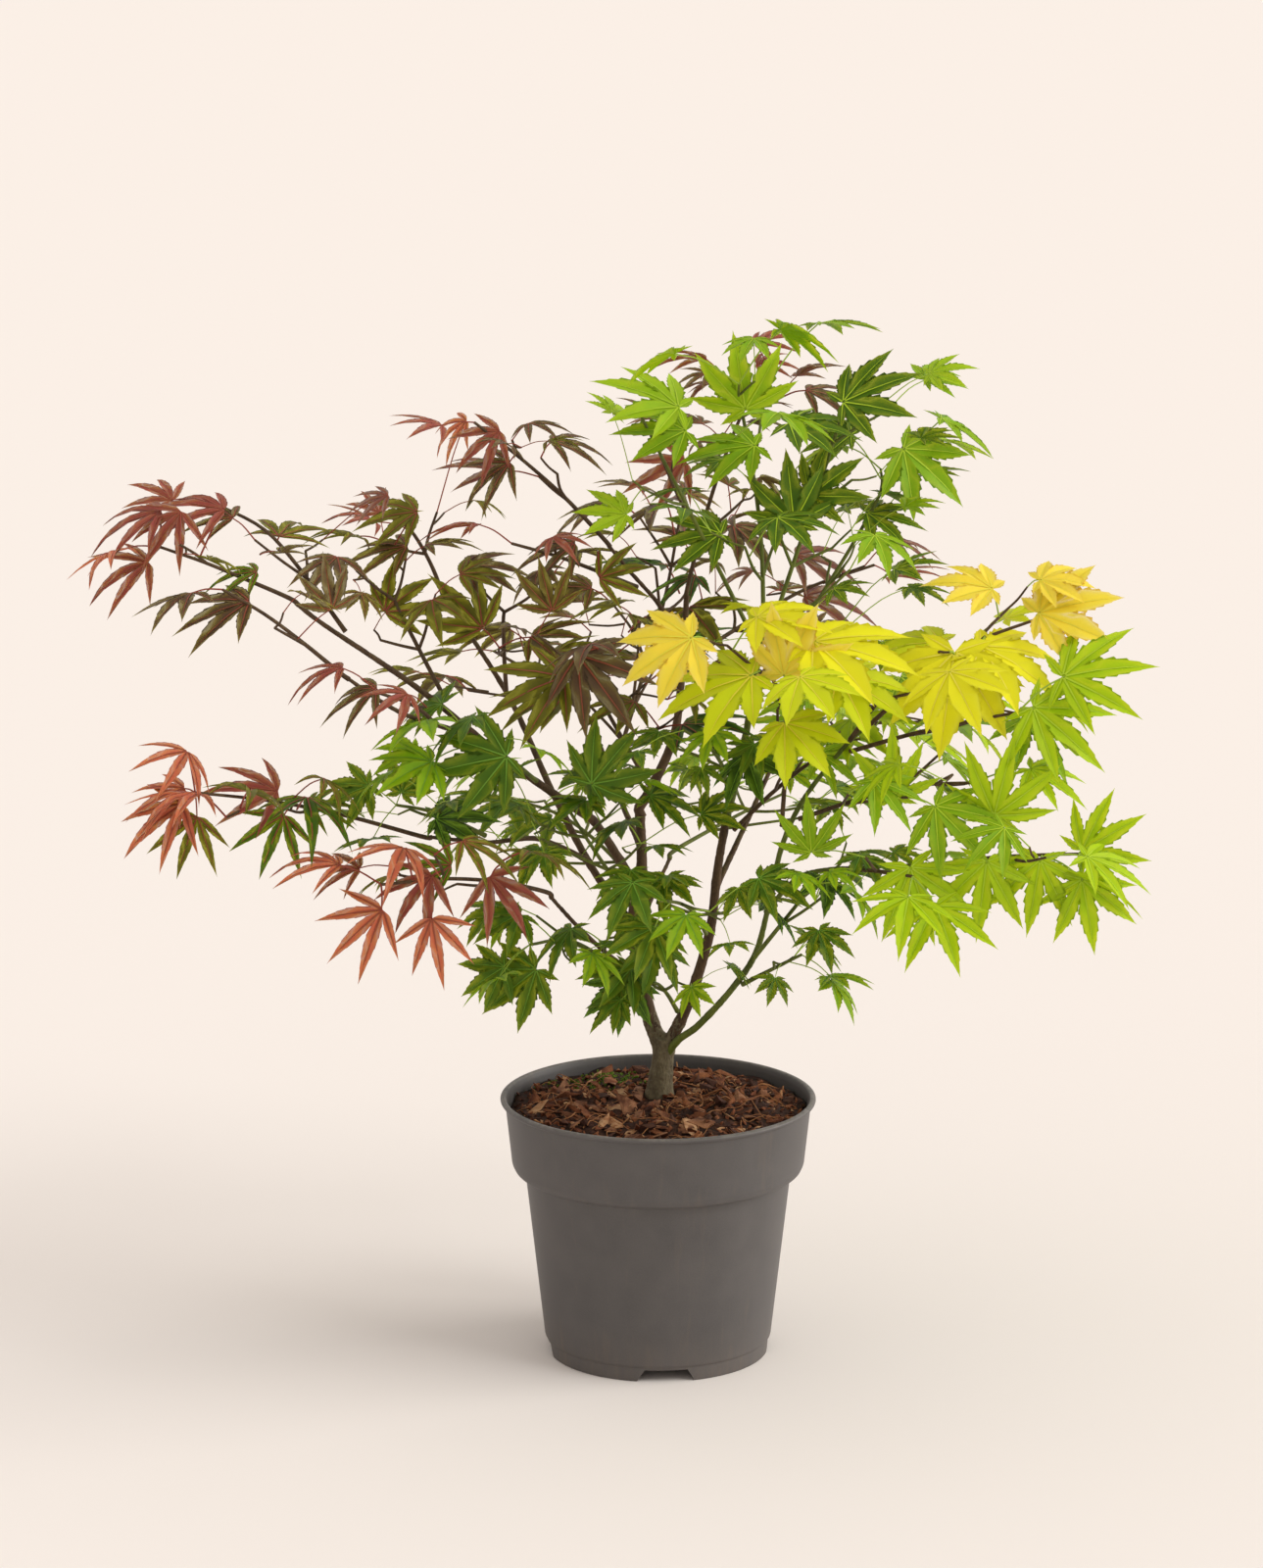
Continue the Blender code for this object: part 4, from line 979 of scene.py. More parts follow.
@dataclass
class Compost:
    """The compost in the pot, with bark chips, crumbs, fibres and a patch of moss."""

    top: float = 154.0
    top_radius: float = 27.0
    edge: float = 148.5
    edge_radius: float = 89.1
    crest: float = 1.2  # how far the mound bulges half way out
    walls: tuple[Pair, ...] = ((84.0, 118.0), (77.5, 111.0), (65.0, 8.3))  # of the peat, inside the pot
    litter: float = 1.4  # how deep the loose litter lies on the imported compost
    bumps: float = 4.0
    trunk_place: Pair = (1.0, 12.0)
    trunk_room: float = 11.5
    calm: Pair = (6.0, 10.0)  # the smooth ring round the trunk: its radius and its fading
    waves: tuple[Triple, ...] = ((1.0, 0.055, 3.0), (0.6, 0.16, 9.0))  # share, pitch, layer
    moss_place: Pair = (-38.0, 52.0)
    moss_radius: float = 34.0
    moss_length: float = 1.25  # of the patch, against its width
    mossy: float = 0.35  # how much else lies in the middle of the patch
    steps: int = 96
    rings: int = 26
    forms: int = 7  # shapes of each strewn kind
    form_points: int = 11
    sizes: Pair = (0.55, 1.35)
    fibres: int = 70
    fibre_radii: Pair = (0.22, 0.42)
    fibre_steps: Pair = (2.0, 4.6)
    fibre_knots: int = 8
    fibre_spread: float = 0.86  # how far out they start, as a share of the edge
    fibre_margin: float = 3.0  # that they keep from the edge
    fibre_rise: Triple = (2.6, 1.8, 0.9)  # over the ground: height, swing and the swing's pace
    strewn: tuple[Strewn, ...] = (
        Strewn("bark_slabs", (23.0, 13.0, 5.0), 17.0, 75.0, 0.55, 0.9, CHIP_RED, 21),
        Strewn("tan_slabs", (20.0, 11.0, 3.4), 27.0, 76.0, 0.45, 0.9, CHIP_TAN, 23),
        Strewn("red_chips", (15.0, 8.0, 3.8), 10.5, 79.0, 0.65, 0.9, CHIP_RUST, 3),
        Strewn("dark_chips", (14.0, 8.5, 4.4), 12.0, 80.0, 0.65, 0.8, CHIP_DARK, 5),
        Strewn("tan_chips", (15.0, 5.0, 2.2), 17.0, 79.0, 0.60, 1.0, CHIP_TAN, 12),
        Strewn("red_crumbs", (6.0, 4.2, 2.8), 5.6, 84.0, 0.9, 0.9, CHIP_RUST, 8),
        Strewn("peat_crumbs", (4.8, 3.8, 3.0), 4.8, 86.0, 0.9, 0.9, CHIP_DARK, 9),
        Strewn("tan_crumbs", (4.0, 2.4, 1.6), 9.5, 84.0, 0.9, 0.9, CHIP_TAN, 15),
        Strewn("moss_tufts", (2.6, 1.8, 3.4), 1.7, 84.0, 0.5, 1.0, MOSS, 10, moss=True),
    )

    def height(self, radius: float) -> float:
        """The height of the mound at a distance from its middle."""
        middle = (self.top_radius + self.edge_radius) / 2
        crest = (self.top + self.edge) / 2 + self.crest
        if radius <= self.top_radius:
            return self.top
        if radius <= middle:
            return self.top + (crest - self.top) * (radius - self.top_radius) / (middle - self.top_radius)
        return crest + (self.edge - crest) * (radius - middle) / (self.edge_radius - middle)

    def build(self, tubes: NodeTree) -> None:
        """Makes the ground of the pot and everything that lies on it."""
        ground = self.build_ground()
        tree = strew_tree()
        for kind in self.strewn:
            self.build_strewn(kind, ground, tree)
        bpy.data.objects.remove(ground)
        self.build_fibres(tubes)

    def rough(self, x: float, y: float) -> float:
        """The height of the rough ground at a place."""
        radius = math.hypot(x, y)
        calm = min(1.0, max(0.0, (self.from_trunk(x, y) - self.calm[0]) / self.calm[1]))
        wave = sum(share * noise.noise(Vector((x, y, layer)) * pitch) for share, pitch, layer in self.waves)
        return self.height(radius) + self.litter + self.bumps * calm * wave

    def from_trunk(self, x: float, y: float) -> float:
        """How far a place is from the trunk's middle."""
        return math.hypot(x - self.trunk_place[0], y - self.trunk_place[1])

    def build_ground(self) -> Object:
        """The peat as a closed body; gives back an open copy of its top, to strew on."""
        points, faces = [Vector((0.0, 0.0, self.rough(0.0, 0.0)))], []
        for ring in range(1, self.rings + 1):
            radius = self.edge_radius * ring / self.rings
            for step in range(self.steps):
                angle = math.tau * step / self.steps
                x, y = radius * math.cos(angle), radius * math.sin(angle)
                points.append(Vector((x, y, self.rough(x, y))))
        for step in range(self.steps):
            after = (step + 1) % self.steps
            faces.append((0, 1 + step, 1 + after))
            for ring in range(self.rings - 1):
                near, far = 1 + ring * self.steps, 1 + (ring + 1) * self.steps
                faces.append((near + step, far + step, far + after, near + after))
        top = add_object("compost_top", mesh_of("compost_top", points, faces))
        rim = 1 + (self.rings - 1) * self.steps
        for radius, height in self.walls:
            first = len(points)
            points += circle(radius, height, self.steps)
            for step in range(self.steps):
                after = (step + 1) % self.steps
                faces.append((rim + step, first + step, first + after, rim + after))
            rim = first
        faces.append(tuple(reversed(range(rim, rim + self.steps))))
        body = add_object("compost_peat", mesh_of("compost_peat", points, faces))
        body.data.materials.append(PEAT.build())
        shade_smooth(body.data)
        dress(body, "bark_compost", ("soil",))
        return top

    def room(self, kind: Strewn, point: Vector) -> float:
        """How much of a kind may lie at a point, from 0 to 1."""
        x, y = point.x / MM, point.y / MM
        if math.hypot(x, y) > kind.reach or self.from_trunk(x, y) < self.trunk_room:
            return 0.0
        along, across = (x - self.moss_place[0]) / self.moss_length, y - self.moss_place[1]
        from_moss = math.hypot(along, across) / self.moss_radius
        if kind.moss:
            return max(0.0, 1.0 - from_moss**2)
        return kind.share * (self.mossy if from_moss < 0.6 else 1.0)

    def build_strewn(self, kind: Strewn, ground: Object, tree: NodeTree) -> None:
        """Strews one kind of small thing and joins it in one piece."""
        mesh = ground.data.copy()
        store(mesh, "room", "FLOAT", [self.room(kind, vertex.co) for vertex in mesh.vertices])
        forms = bpy.data.collections.new(kind.name)
        for number in range(self.forms):
            self.chip_form(kind, number, forms)
        values = {
            "Forms": forms,
            "Spacing": kind.spacing * MM,
            "Seed": kind.seed,
            "Smallest": self.sizes[0],
            "Largest": self.sizes[1],
            "Tilt": kind.tilt,
            "Finish": kind.finish.build(),
        }
        dress(run_tree(add_object(kind.name, mesh), tree, values, kind.name), "bark_compost", ("soil",))
        discard(forms)

    def chip_form(self, kind: Strewn, number: int, forms: Collection) -> None:
        """One angular lump: the hull of a few random points in a box."""
        rng = random.Random(kind.seed * 100 + number)
        form = bmesh.new()
        length, width, thick = kind.box
        for _ in range(self.form_points):
            along = rng.uniform(-1.0, 1.0)
            wide = width * (1.0 - 0.55 * along**2)
            spot = (along * length, rng.uniform(-1.0, 1.0) * wide, rng.uniform(-0.6, 1.0) * thick)
            form.verts.new([side * 0.5 * MM for side in spot])
        bmesh.ops.convex_hull(form, input=form.verts, use_existing_faces=False)
        loose = [vertex for vertex in form.verts if not vertex.link_faces]
        bmesh.ops.delete(form, geom=loose, context="VERTS")
        bmesh.ops.recalc_face_normals(form, faces=form.faces)
        name = f"{kind.name}_{number}"
        add_object(name, baked(form, name), forms)

    def build_fibres(self, tubes: NodeTree) -> None:
        """Thin curled fibres that lie on the chips."""
        rng = random.Random(77)
        strands = Tubes("coir_fibres", 4, FIBRE.build())
        for _ in range(self.fibres):
            angle = rng.uniform(0.0, math.tau)
            radius = self.edge_radius * self.fibre_spread * math.sqrt(rng.random())
            heading, turn = rng.uniform(0.0, math.tau), rng.uniform(-0.5, 0.5)
            x, y = radius * math.cos(angle), radius * math.sin(angle)
            step, line = rng.uniform(*self.fibre_steps), []
            height, swing, pace = self.fibre_rise
            for knot in range(self.fibre_knots):
                lift = height + swing * math.sin(knot * pace + turn * 5.0)
                if math.hypot(x, y) < self.edge_radius - self.fibre_margin:
                    line.append(Vector((x, y, self.rough(x, y) + lift)))
                heading += turn
                x, y = x + step * math.cos(heading), y + step * math.sin(heading)
            if len(line) > 3:
                strands.add(smooth(line, 3), [rng.uniform(*self.fibre_radii)] * (len(line) * 3 - 2))
        dress(strands.build(tubes), "bark_compost", ("soil",))


# Wood.


class Bark(Enum):
    """The two barks, each with the name of its slot."""

    BROWN = "brown_bark"
    GREEN = "green_bark"

    def finish(self) -> GrainedFinish:
        """The finish of the bark on limbs and twigs."""
        if self is Bark.BROWN:
            return GrainedFinish(
                "brown_bark", srgb(52, 36, 25), srgb(104, 80, 54), srgb(116, 112, 66), 0.35, 190.0, 1300.0,
                (1.0, 1.0, 0.35), 0.75, 0.5,
            )
        return GrainedFinish(
            "green_bark", srgb(66, 76, 26), srgb(118, 128, 48), srgb(96, 74, 50), 0.35, 150.0, 1100.0,
            (1.0, 1.0, 0.30), 0.65, 0.3,
        )


TRUNK_BARK = GrainedFinish(
    "trunk_bark", srgb(70, 60, 44), srgb(132, 120, 92), srgb(150, 144, 118), 0.4, 170.0, 1200.0,
    (1.0, 1.0, 0.45), 0.85, 0.9,
)


@dataclass(frozen=True)
class Limb:
    """One tapering limb: it leaves its parent at a share of the parent's length."""

    name: str
    parent: str
    at: float
    route: Route
    foot_radius: float
    tip_radius: float
    bark: Bark


@dataclass
class Wood:
    """The trunk and the limbs, as lines to grow on and as meshes with the bark's relief."""

    soil_top: float = 154.0
    clear: float = 0.3
    joint: float = 4.0  # how straight a limb goes on from the tip of another
    flare: Pair = (0.16, 9.0)  # of a solid limb's foot, and how soon it fades
    trunk_route: Route = ((1.0, 12.0, 151.0), (1.0, 12.0, 158.0), (2.5, 12.0, 174.0), (4.5, 12.0, 191.0))
    trunk_radii: tuple[float, ...] = (9.8, 7.6, 6.6, 7.0)
    gap: float = 1.8  # between the rings of a limb
    node_gap: float = 31.0  # between the ring scars of a limb
    scar: Pair = (0.10, 2.2)  # how much it swells, and its half length
    uneven: float = 0.015
    collar: Pair = (0.35, 1.8)  # how much wider a limb's foot is, and how long for its radius
    overlap: float = 3.0  # how far a limb's foot reaches into the limb that it goes on from
    slimness: float = 0.81  # of a limb's foot, against its solid
    slimming: float = 0.13  # how much slimmer still its tip is
    fork_length: float = 26.0  # how far the two main stems are modelled in one with the trunk
    fork_swell: float = 0.06  # how much wider they are where they part
    fork_gap: float = 0.8  # between the trunk's rings
    fork_sides: int = 24
    voxel: float = 0.75
    softening: tuple[float, int] = (0.5, 8)  # of the melted fork: strength and rounds
    sides: int = 16
    relief: float = 0.7
    grain: float = 420.0  # of the relief
    waist: Pair = (0.03, 0.9)  # of the trunk's rings: how deep, and how close
    ridges: Triple = (0.42, 0.55, 0.16)  # depth, and pitch across and along the trunk
    pits: Pair = (0.22, 0.75)  # depth and pitch
    lines: dict[str, Line] = field(default_factory=dict)
    radii: dict[str, list[float]] = field(default_factory=dict)

    def lay_out(self, limbs: tuple[Limb, ...]) -> None:
        """Works out the line of every limb by the same rule as its solid."""
        trunk = [Vector(point) for point in self.trunk_route]
        trunk[0].z = self.soil_top + self.clear
        self.lines["trunk"] = trunk
        for limb in limbs:
            parent = self.lines[limb.parent]
            foot, tangent = place_on(parent, limb.at)
            coarse = 1 if len(limb.route) > 3 else 2
            if limb.at == 1.0:
                start = foot + tangent * self.joint
                line = [foot + tangent * self.clear, *smooth((start, *limb.route), coarse)]
            else:
                line = smooth((foot, *limb.route), coarse)
            self.lines[limb.name] = line
            count = len(line) - 1
            even = taper(limb.foot_radius, limb.tip_radius, count)
            flare, fade = self.flare
            wider = [1.0 + flare * math.exp(-fade * knot / count) for knot in range(len(even))]
            self.radii[limb.name] = [radius * factor for radius, factor in zip(even, wider)]

    def limb_tube(self, limb: Limb) -> tuple[Line, list[float]]:
        """The fine line of a limb, with its collar and its ring scars."""
        line = evenly(smooth(self.lines[limb.name], 6), self.gap)
        if limb.at == 1.0:
            line[0] = line[0] - (line[1] - line[0]).normalized() * self.overlap
        total = length_of(line)
        rng = random.Random(limb.name)
        start = rng.uniform(0.5, 1.0) * self.node_gap
        widening, reach = (0.0, 1.0) if limb.at == 1.0 else self.collar
        radii = []
        for knot in range(len(line)):
            share = knot / (len(line) - 1)
            along = share * total
            radius = limb.foot_radius + (limb.tip_radius - limb.foot_radius) * share
            radius *= self.slimness - self.slimming * share
            foot = widening * math.exp(-along / (limb.foot_radius * reach))
            nearest = (along - start + self.node_gap / 2) % self.node_gap - self.node_gap / 2
            scar = self.scar[0] * math.exp(-((nearest / self.scar[1]) ** 2))
            radii.append(radius * (1.0 + foot + scar + rng.uniform(-self.uneven, self.uneven)))
        return line, radii

    def build(self, limbs: tuple[Limb, ...], tree: NodeTree) -> None:
        """Makes the trunk with its fork, and the limbs of each bark."""
        self.lay_out(limbs)
        tubes = {
            bark: Tubes(f"{bark.value}_limbs", self.sides, bark.finish().build(), self.relief, self.grain)
            for bark in Bark
        }
        nodes = {bark: [limb.name for limb in limbs if limb.bark is bark] for bark in Bark}
        for limb in limbs:
            tubes[limb.bark].add(*self.limb_tube(limb))
        for bark in Bark:
            dress(tubes[bark].build(tree), bark.value, tuple(nodes[bark]))
        self.build_fork({limb.name: limb for limb in limbs}, tree)

    def build_fork(self, limbs: dict[str, Limb], tree: NodeTree) -> None:
        """The trunk and the feet of its stems, melted together, with relief on the whole."""
        fork = Tubes("trunk_lines", self.fork_sides, TRUNK_BARK.build())
        line = evenly(smooth(self.trunk_route, 8), self.fork_gap)
        radii = []
        for point in line:
            share = (point.z - line[0].z) / (line[-1].z - line[0].z)
            place = share * (len(self.trunk_radii) - 1)
            low = min(int(place), len(self.trunk_radii) - 2)
            step = place - low
            step = step * step * (3.0 - 2.0 * step)
            radius = self.trunk_radii[low] * (1.0 - step) + self.trunk_radii[low + 1] * step
            radii.append(radius * (1.0 + self.waist[0] * math.sin(point.z * self.waist[1])))
        fork.add(line, radii)
        for name in ("left_stem_lower", "middle_stem_lower"):
            stem, widths = self.limb_tube(limbs[name])
            count = round(self.fork_length / self.gap)
            swell = [1.0 + self.fork_swell - self.fork_swell * knot / count for knot in range(count + 1)]
            fork.add(stem[: count + 1], [width * factor for width, factor in zip(widths, swell)])
        whole = fork.build(tree)
        melt = whole.modifiers.new("melt", "REMESH")
        melt.mode = "VOXEL"
        melt.voxel_size = self.voxel * MM
        melt.use_smooth_shade = True
        soften = whole.modifiers.new("soften", "SMOOTH")
        soften.factor, soften.iterations = self.softening
        whole = evaluated(whole, "trunk_fork")
        depth, across, along = self.ridges
        for vertex in whole.data.vertices:
            spot = vertex.co / MM
            ridge = noise.noise(Vector((spot.x * across, spot.y * across, spot.z * along)))
            pit = noise.noise(spot * self.pits[1])
            vertex.co += vertex.normal * (depth * ridge + self.pits[0] * pit) * MM
        whole.data.materials.clear()
        whole.data.materials.append(TRUNK_BARK.build())
        dress(whole, Bark.BROWN.value, ("trunk",))


# Leaves.


@dataclass(frozen=True)
class Blade:
    """The shape of one kind of blade, for a middle lobe of length 1."""

    lobes: tuple[Pair, ...]  # (degrees from the middle lobe, reach), on one side
    notch: float  # how far from the joint the lobes part, as a share of their reach
    width: float  # the most that half a lobe is wide, as a share of its reach
    bend: float  # how far a lobe curls down along its length, in radians
    tooth: float = 0.11  # how far its teeth stand out, as a share of the half lobe
    fold: float = 0.30  # how much a lobe's halves rise from its rib
    short: float = 0.6  # the reach up to which a lobe is short
    teeth: tuple[int, int] = (6, 4)  # on each side of a long lobe and of a short one
    tooth_steps: tuple[Pair, ...] = ((0.62, 1.0), (0.78, -1.0))  # where a tooth turns out and in again
    toothless: float = 0.25  # how much of a tooth's length the bare tip takes
    dip: float = 0.30  # how much of the fold is left where lobes part
    knots: tuple[tuple[float, ...], ...] = ((0.44, 0.74), (0.52,))  # on a long and a short lobe's rib
    heel: Pair = (30.0, 0.10)  # degrees beyond the last lobe, and reach
    rib: float = 0.010
    thickness: float = 0.009
    sway: float = 4.0  # degrees that a lobe may turn aside
    reaches: Pair = (0.93, 1.05)
    bends: Pair = (0.65, 1.35)

    def build(self, name: str, seed: int, forms: Collection) -> None:
        """Makes one blade, with a little chance in its lobes.

        Its faces carry the attribute vein, which is 1 on its ribs.

        Args:
            name: the mesh's name.
            seed: of the chance.
            forms: the collection that it goes in.
        """
        rng = random.Random(seed)
        right = [self.swayed(angle, reach, rng) for angle, reach in self.lobes]
        left = [self.swayed(-angle, reach, rng) for angle, reach in self.lobes[1:]]
        lobes = [*reversed(left), *right]
        bends = [self.bend * rng.uniform(*self.bends) for _ in lobes]
        gaps = [((a + b) / 2, self.notch * (p + q) / 2) for (a, p), (b, q) in zip(lobes, lobes[1:])]
        beyond, heel = self.heel
        gaps = [(lobes[0][0] - beyond, heel), *gaps, (lobes[-1][0] + beyond, heel)]
        sheet = BladeSheet(self.thickness)
        joint = sheet.rib_point(Vector((0.0, 0.0)), 0.0)
        sinuses = [
            sheet.margin_point(self.polar(angle, reach), self.bend, self.fold * reach * self.dip)
            for angle, reach in gaps
        ]
        for place, ((angle, reach), bend) in enumerate(zip(lobes, bends)):
            along, across = self.polar(angle, 1.0), self.polar(angle + 90.0, 1.0)
            short = reach <= self.short
            knots = [joint, *(sheet.rib_point(along * reach * share, bend) for share in self.knots[short])]
            tip = sheet.margin_point(along * reach, bend, 0.0)
            for hand, gap in ((-1.0, place), (1.0, place + 1)):
                apart = self.polar(*gaps[gap])
                start, side = apart.dot(along) / reach, abs(apart.dot(across)) / reach
                margin = [sinuses[gap]]
                for t, wide in self.toothed(self.teeth[short], side):
                    spot = along * reach * (start + (1.0 - start) * t) + across * hand * reach * wide
                    margin.append(sheet.margin_point(spot, bend, self.fold * reach * wide))
                sheet.half_lobe(knots, margin, tip)
            sheet.vein(along * reach, across, bend, self.rib, self.fold)
        sheet.close(joint, sinuses)
        sheet.finish(name, forms)

    def swayed(self, angle: float, reach: float, rng: random.Random) -> Pair:
        """A lobe's angle and reach, with a little chance."""
        return angle + rng.uniform(-self.sway, self.sway), reach * rng.uniform(*self.reaches)

    def toothed(self, teeth: int, foot: float) -> list[Pair]:
        """Where a lobe's margin turns: the share of its length, and its half width there."""
        turns = []
        for tooth in range(teeth):
            for step, outwards in self.tooth_steps:
                t = (tooth + step) / (teeth + self.toothless)
                turns.append((t, self.half_width(t, foot) * (1.0 + self.tooth * outwards)))
        return turns

    @staticmethod
    def polar(angle: float, reach: float) -> Vector:
        """The point at an angle, in degrees from +Y towards +X, and a distance."""
        return Vector((math.sin(math.radians(angle)), math.cos(math.radians(angle)))) * reach

    def half_width(self, t: float, foot: float) -> float:
        """Half of a lobe's width at a share of the way from where it parts to its tip."""
        swell = 4.9 * t**0.9 * (1.0 - t) ** 1.5  # at most 1
        return foot * (1.0 - t) ** 1.3 + max(0.0, self.width - foot * 0.54) * swell


class BladeSheet:
    """Gathers the points and faces of one blade, with its upper and its lower skin."""

    def __init__(self, thickness: float) -> None:
        """Starts an empty sheet of a given thickness at its ribs."""
        self.thickness = thickness
        self.points: Line = []
        self.faces: list[tuple[int, ...]] = []
        self.veins: list[int] = []
        self.soft: set[frozenset[int]] = set()

    @staticmethod
    def hang(spot: Vector, bend: float, rise: float) -> Vector:
        """A flat point of the blade, bent down round its joint and raised by its fold."""
        reach = spot.length
        if reach < 1e-6 or bend < 1e-6:
            return Vector((spot.x, spot.y, rise))
        level = spot.normalized() * math.sin(bend * reach) / bend
        return Vector((level.x, level.y, rise - (1.0 - math.cos(bend * reach)) / bend))

    def rib_point(self, spot: Vector, bend: float) -> int:
        """A point on a rib, with another under it, and the number of the upper one."""
        top = self.hang(spot, bend, 0.0)
        self.points += [top, top - Vector((0.0, 0.0, self.thickness))]
        return len(self.points) - 2

    def margin_point(self, spot: Vector, bend: float, rise: float) -> int:
        """A point on the margin, where both skins meet."""
        self.points.append(self.hang(spot, bend, rise))
        return len(self.points) - 1

    def face(self, corners: list[int], doubled: set[int]) -> None:
        """A face of the upper skin, and the one under it."""
        flat = [self.points[corner] for corner in corners]
        turn = sum(a.x * b.y - b.x * a.y for a, b in zip(flat, flat[1:] + flat[:1]))
        upper = corners if turn > 0 else corners[::-1]
        self.faces.append(tuple(upper))
        self.faces.append(tuple(corner + (corner in doubled) for corner in reversed(upper)))
        self.veins += [0, 0]

    def half_lobe(self, knots: list[int], margin: list[int], tip: int) -> None:
        """The faces between a rib and a margin."""
        doubled = set(knots)
        share = (len(margin) - 1) // len(knots)
        share -= share % 2
        for place, knot in enumerate(knots):
            last = place == len(knots) - 1
            stretch = margin[place * share :] if last else margin[place * share : (place + 1) * share + 1]
            ahead = [tip] if last else [knots[place + 1]]
            self.face([knot, *stretch, *ahead], doubled)
            if not last:
                for under in (0, 1):
                    self.soft.add(frozenset((knots[place + 1] + under, stretch[-1])))

    def vein(self, along: Vector, across: Vector, bend: float, half: float, fold: float) -> None:
        """A raised rib that narrows towards the tip."""
        corners = []
        for share, wide in ((0.03, 1.0), (0.34, 0.75), (0.64, 0.5)):
            for hand in (-1.0, 1.0):
                spot = along * share + across * hand * half * wide
                self.points.append(self.hang(spot, bend, fold * half * wide + 0.006))
                corners.append(len(self.points) - 1)
        self.points.append(self.hang(along * 0.93, bend, 0.005))
        tip = len(self.points) - 1
        for face in (corners[0:4], corners[2:6]):
            self.faces.append((face[0], face[1], face[3], face[2]))
        self.faces.append((corners[4], corners[5], tip))
        self.veins += [1, 1, 1]

    def close(self, joint: int, sinuses: list[int]) -> None:
        """Closes the blade between its two heels."""
        self.faces += [(joint, sinuses[0], joint + 1), (joint + 1, sinuses[-1], joint)]
        self.veins += [0, 0]

    def finish(self, name: str, forms: Collection) -> None:
        """Makes the mesh, in metres for a middle lobe of one metre."""
        mesh = bpy.data.meshes.new(name)
        mesh.from_pydata(self.points, [], self.faces)
        form = bmesh.new()
        form.from_mesh(mesh)
        for edge in form.edges:
            edge.smooth = frozenset(vertex.index for vertex in edge.verts) in self.soft
        for face in form.faces:
            face.smooth = True
        form.to_mesh(mesh)
        form.free()
        store(mesh, "vein", "INT", self.veins, "FACE")
        add_object(name, mesh, forms)


TINTS = 4  # of each kind of foliage, from the foot of a mass to its outer leaves
BROAD_LOBES = ((0.0, 1.0), (38.0, 0.94), (74.0, 0.72), (116.0, 0.38))
SLIM_LOBES = ((0.0, 1.0), (35.0, 0.92), (72.0, 0.66))


@dataclass(frozen=True)
class Foliage:
    """What the leaves of one kind of foliage have in common."""

    slot: str
    blade: Blade
    tints: tuple[Tint, ...]
    vein: Tint
    stalk: Tint
    bark: Bark
    facing: float  # how far a blade turns to the light
    spread: float = 1.0  # how far apart the leaves stand
    size: float = 1.0  # of its leaves, against their solids
    stalk_reach: float = 1.0
    forms: int = 6


class Habit(Enum):
    """The kinds of foliage, by the colour that each mass has."""

    RED = Foliage(
        "red_leaf", Blade(SLIM_LOBES, 0.15, 0.078, 1.00, tooth=0.05),
        (Tint.GREEN, Tint.OLIVE, Tint.CRIMSON, Tint.CORAL), Tint.RED_VEIN, Tint.RED_STALK, Bark.BROWN, 0.02,
        spread=0.80,
    )
    PURPLE = Foliage(
        "purple_leaf", Blade(SLIM_LOBES, 0.16, 0.086, 0.85, tooth=0.05),
        (Tint.OLIVE, Tint.BROWN, Tint.PLUM, Tint.CRIMSON), Tint.RED_VEIN, Tint.RED_STALK, Bark.BROWN, 0.0,
        spread=1.1, size=0.95,
    )
    BRONZE = Foliage(
        "bronze_leaf", Blade(SLIM_LOBES, 0.20, 0.112, 0.65, tooth=0.07),
        (Tint.DEEP_GREEN, Tint.OLIVE, Tint.BRONZE, Tint.BROWN), Tint.RED_VEIN, Tint.RED_STALK,
        Bark.BROWN, 0.05, spread=0.90,
    )
    GREEN = Foliage(
        "green_leaf", Blade(BROAD_LOBES, 0.28, 0.140, 0.50),
        (Tint.DEEP_GREEN, Tint.GREEN, Tint.GREEN, Tint.FRESH_GREEN), Tint.GREEN_VEIN, Tint.GREEN_STALK,
        Bark.GREEN, 0.06, spread=0.92, size=0.82, stalk_reach=1.4,
    )
    UPPER = Foliage(
        "green_leaf", Blade(BROAD_LOBES, 0.28, 0.140, 0.45),
        (Tint.GREEN, Tint.GREEN, Tint.FRESH_GREEN, Tint.LEAF_GREEN), Tint.LIME_VEIN, Tint.GREEN_STALK,
        Bark.GREEN, 0.0, spread=1.55, size=0.88, stalk_reach=1.8,
    )
    LIME = Foliage(
        "lime_leaf", Blade(BROAD_LOBES, 0.23, 0.115, 0.45),
        (Tint.GREEN, Tint.FRESH_GREEN, Tint.LIME, Tint.LIME), Tint.LIME_VEIN, Tint.GREEN_STALK,
        Bark.BROWN, 0.12, spread=1.15, size=0.95,
    )
    GOLD = Foliage(
        "gold_leaf", Blade(BROAD_LOBES, 0.40, 0.165, 0.50),
        (Tint.YELLOW_LIME, Tint.YELLOW_LIME, Tint.GOLD, Tint.AMBER), Tint.GOLD_VEIN, Tint.GREEN_STALK,
        Bark.BROWN, 0.0, spread=1.5, size=0.95, stalk_reach=1.2,
    )


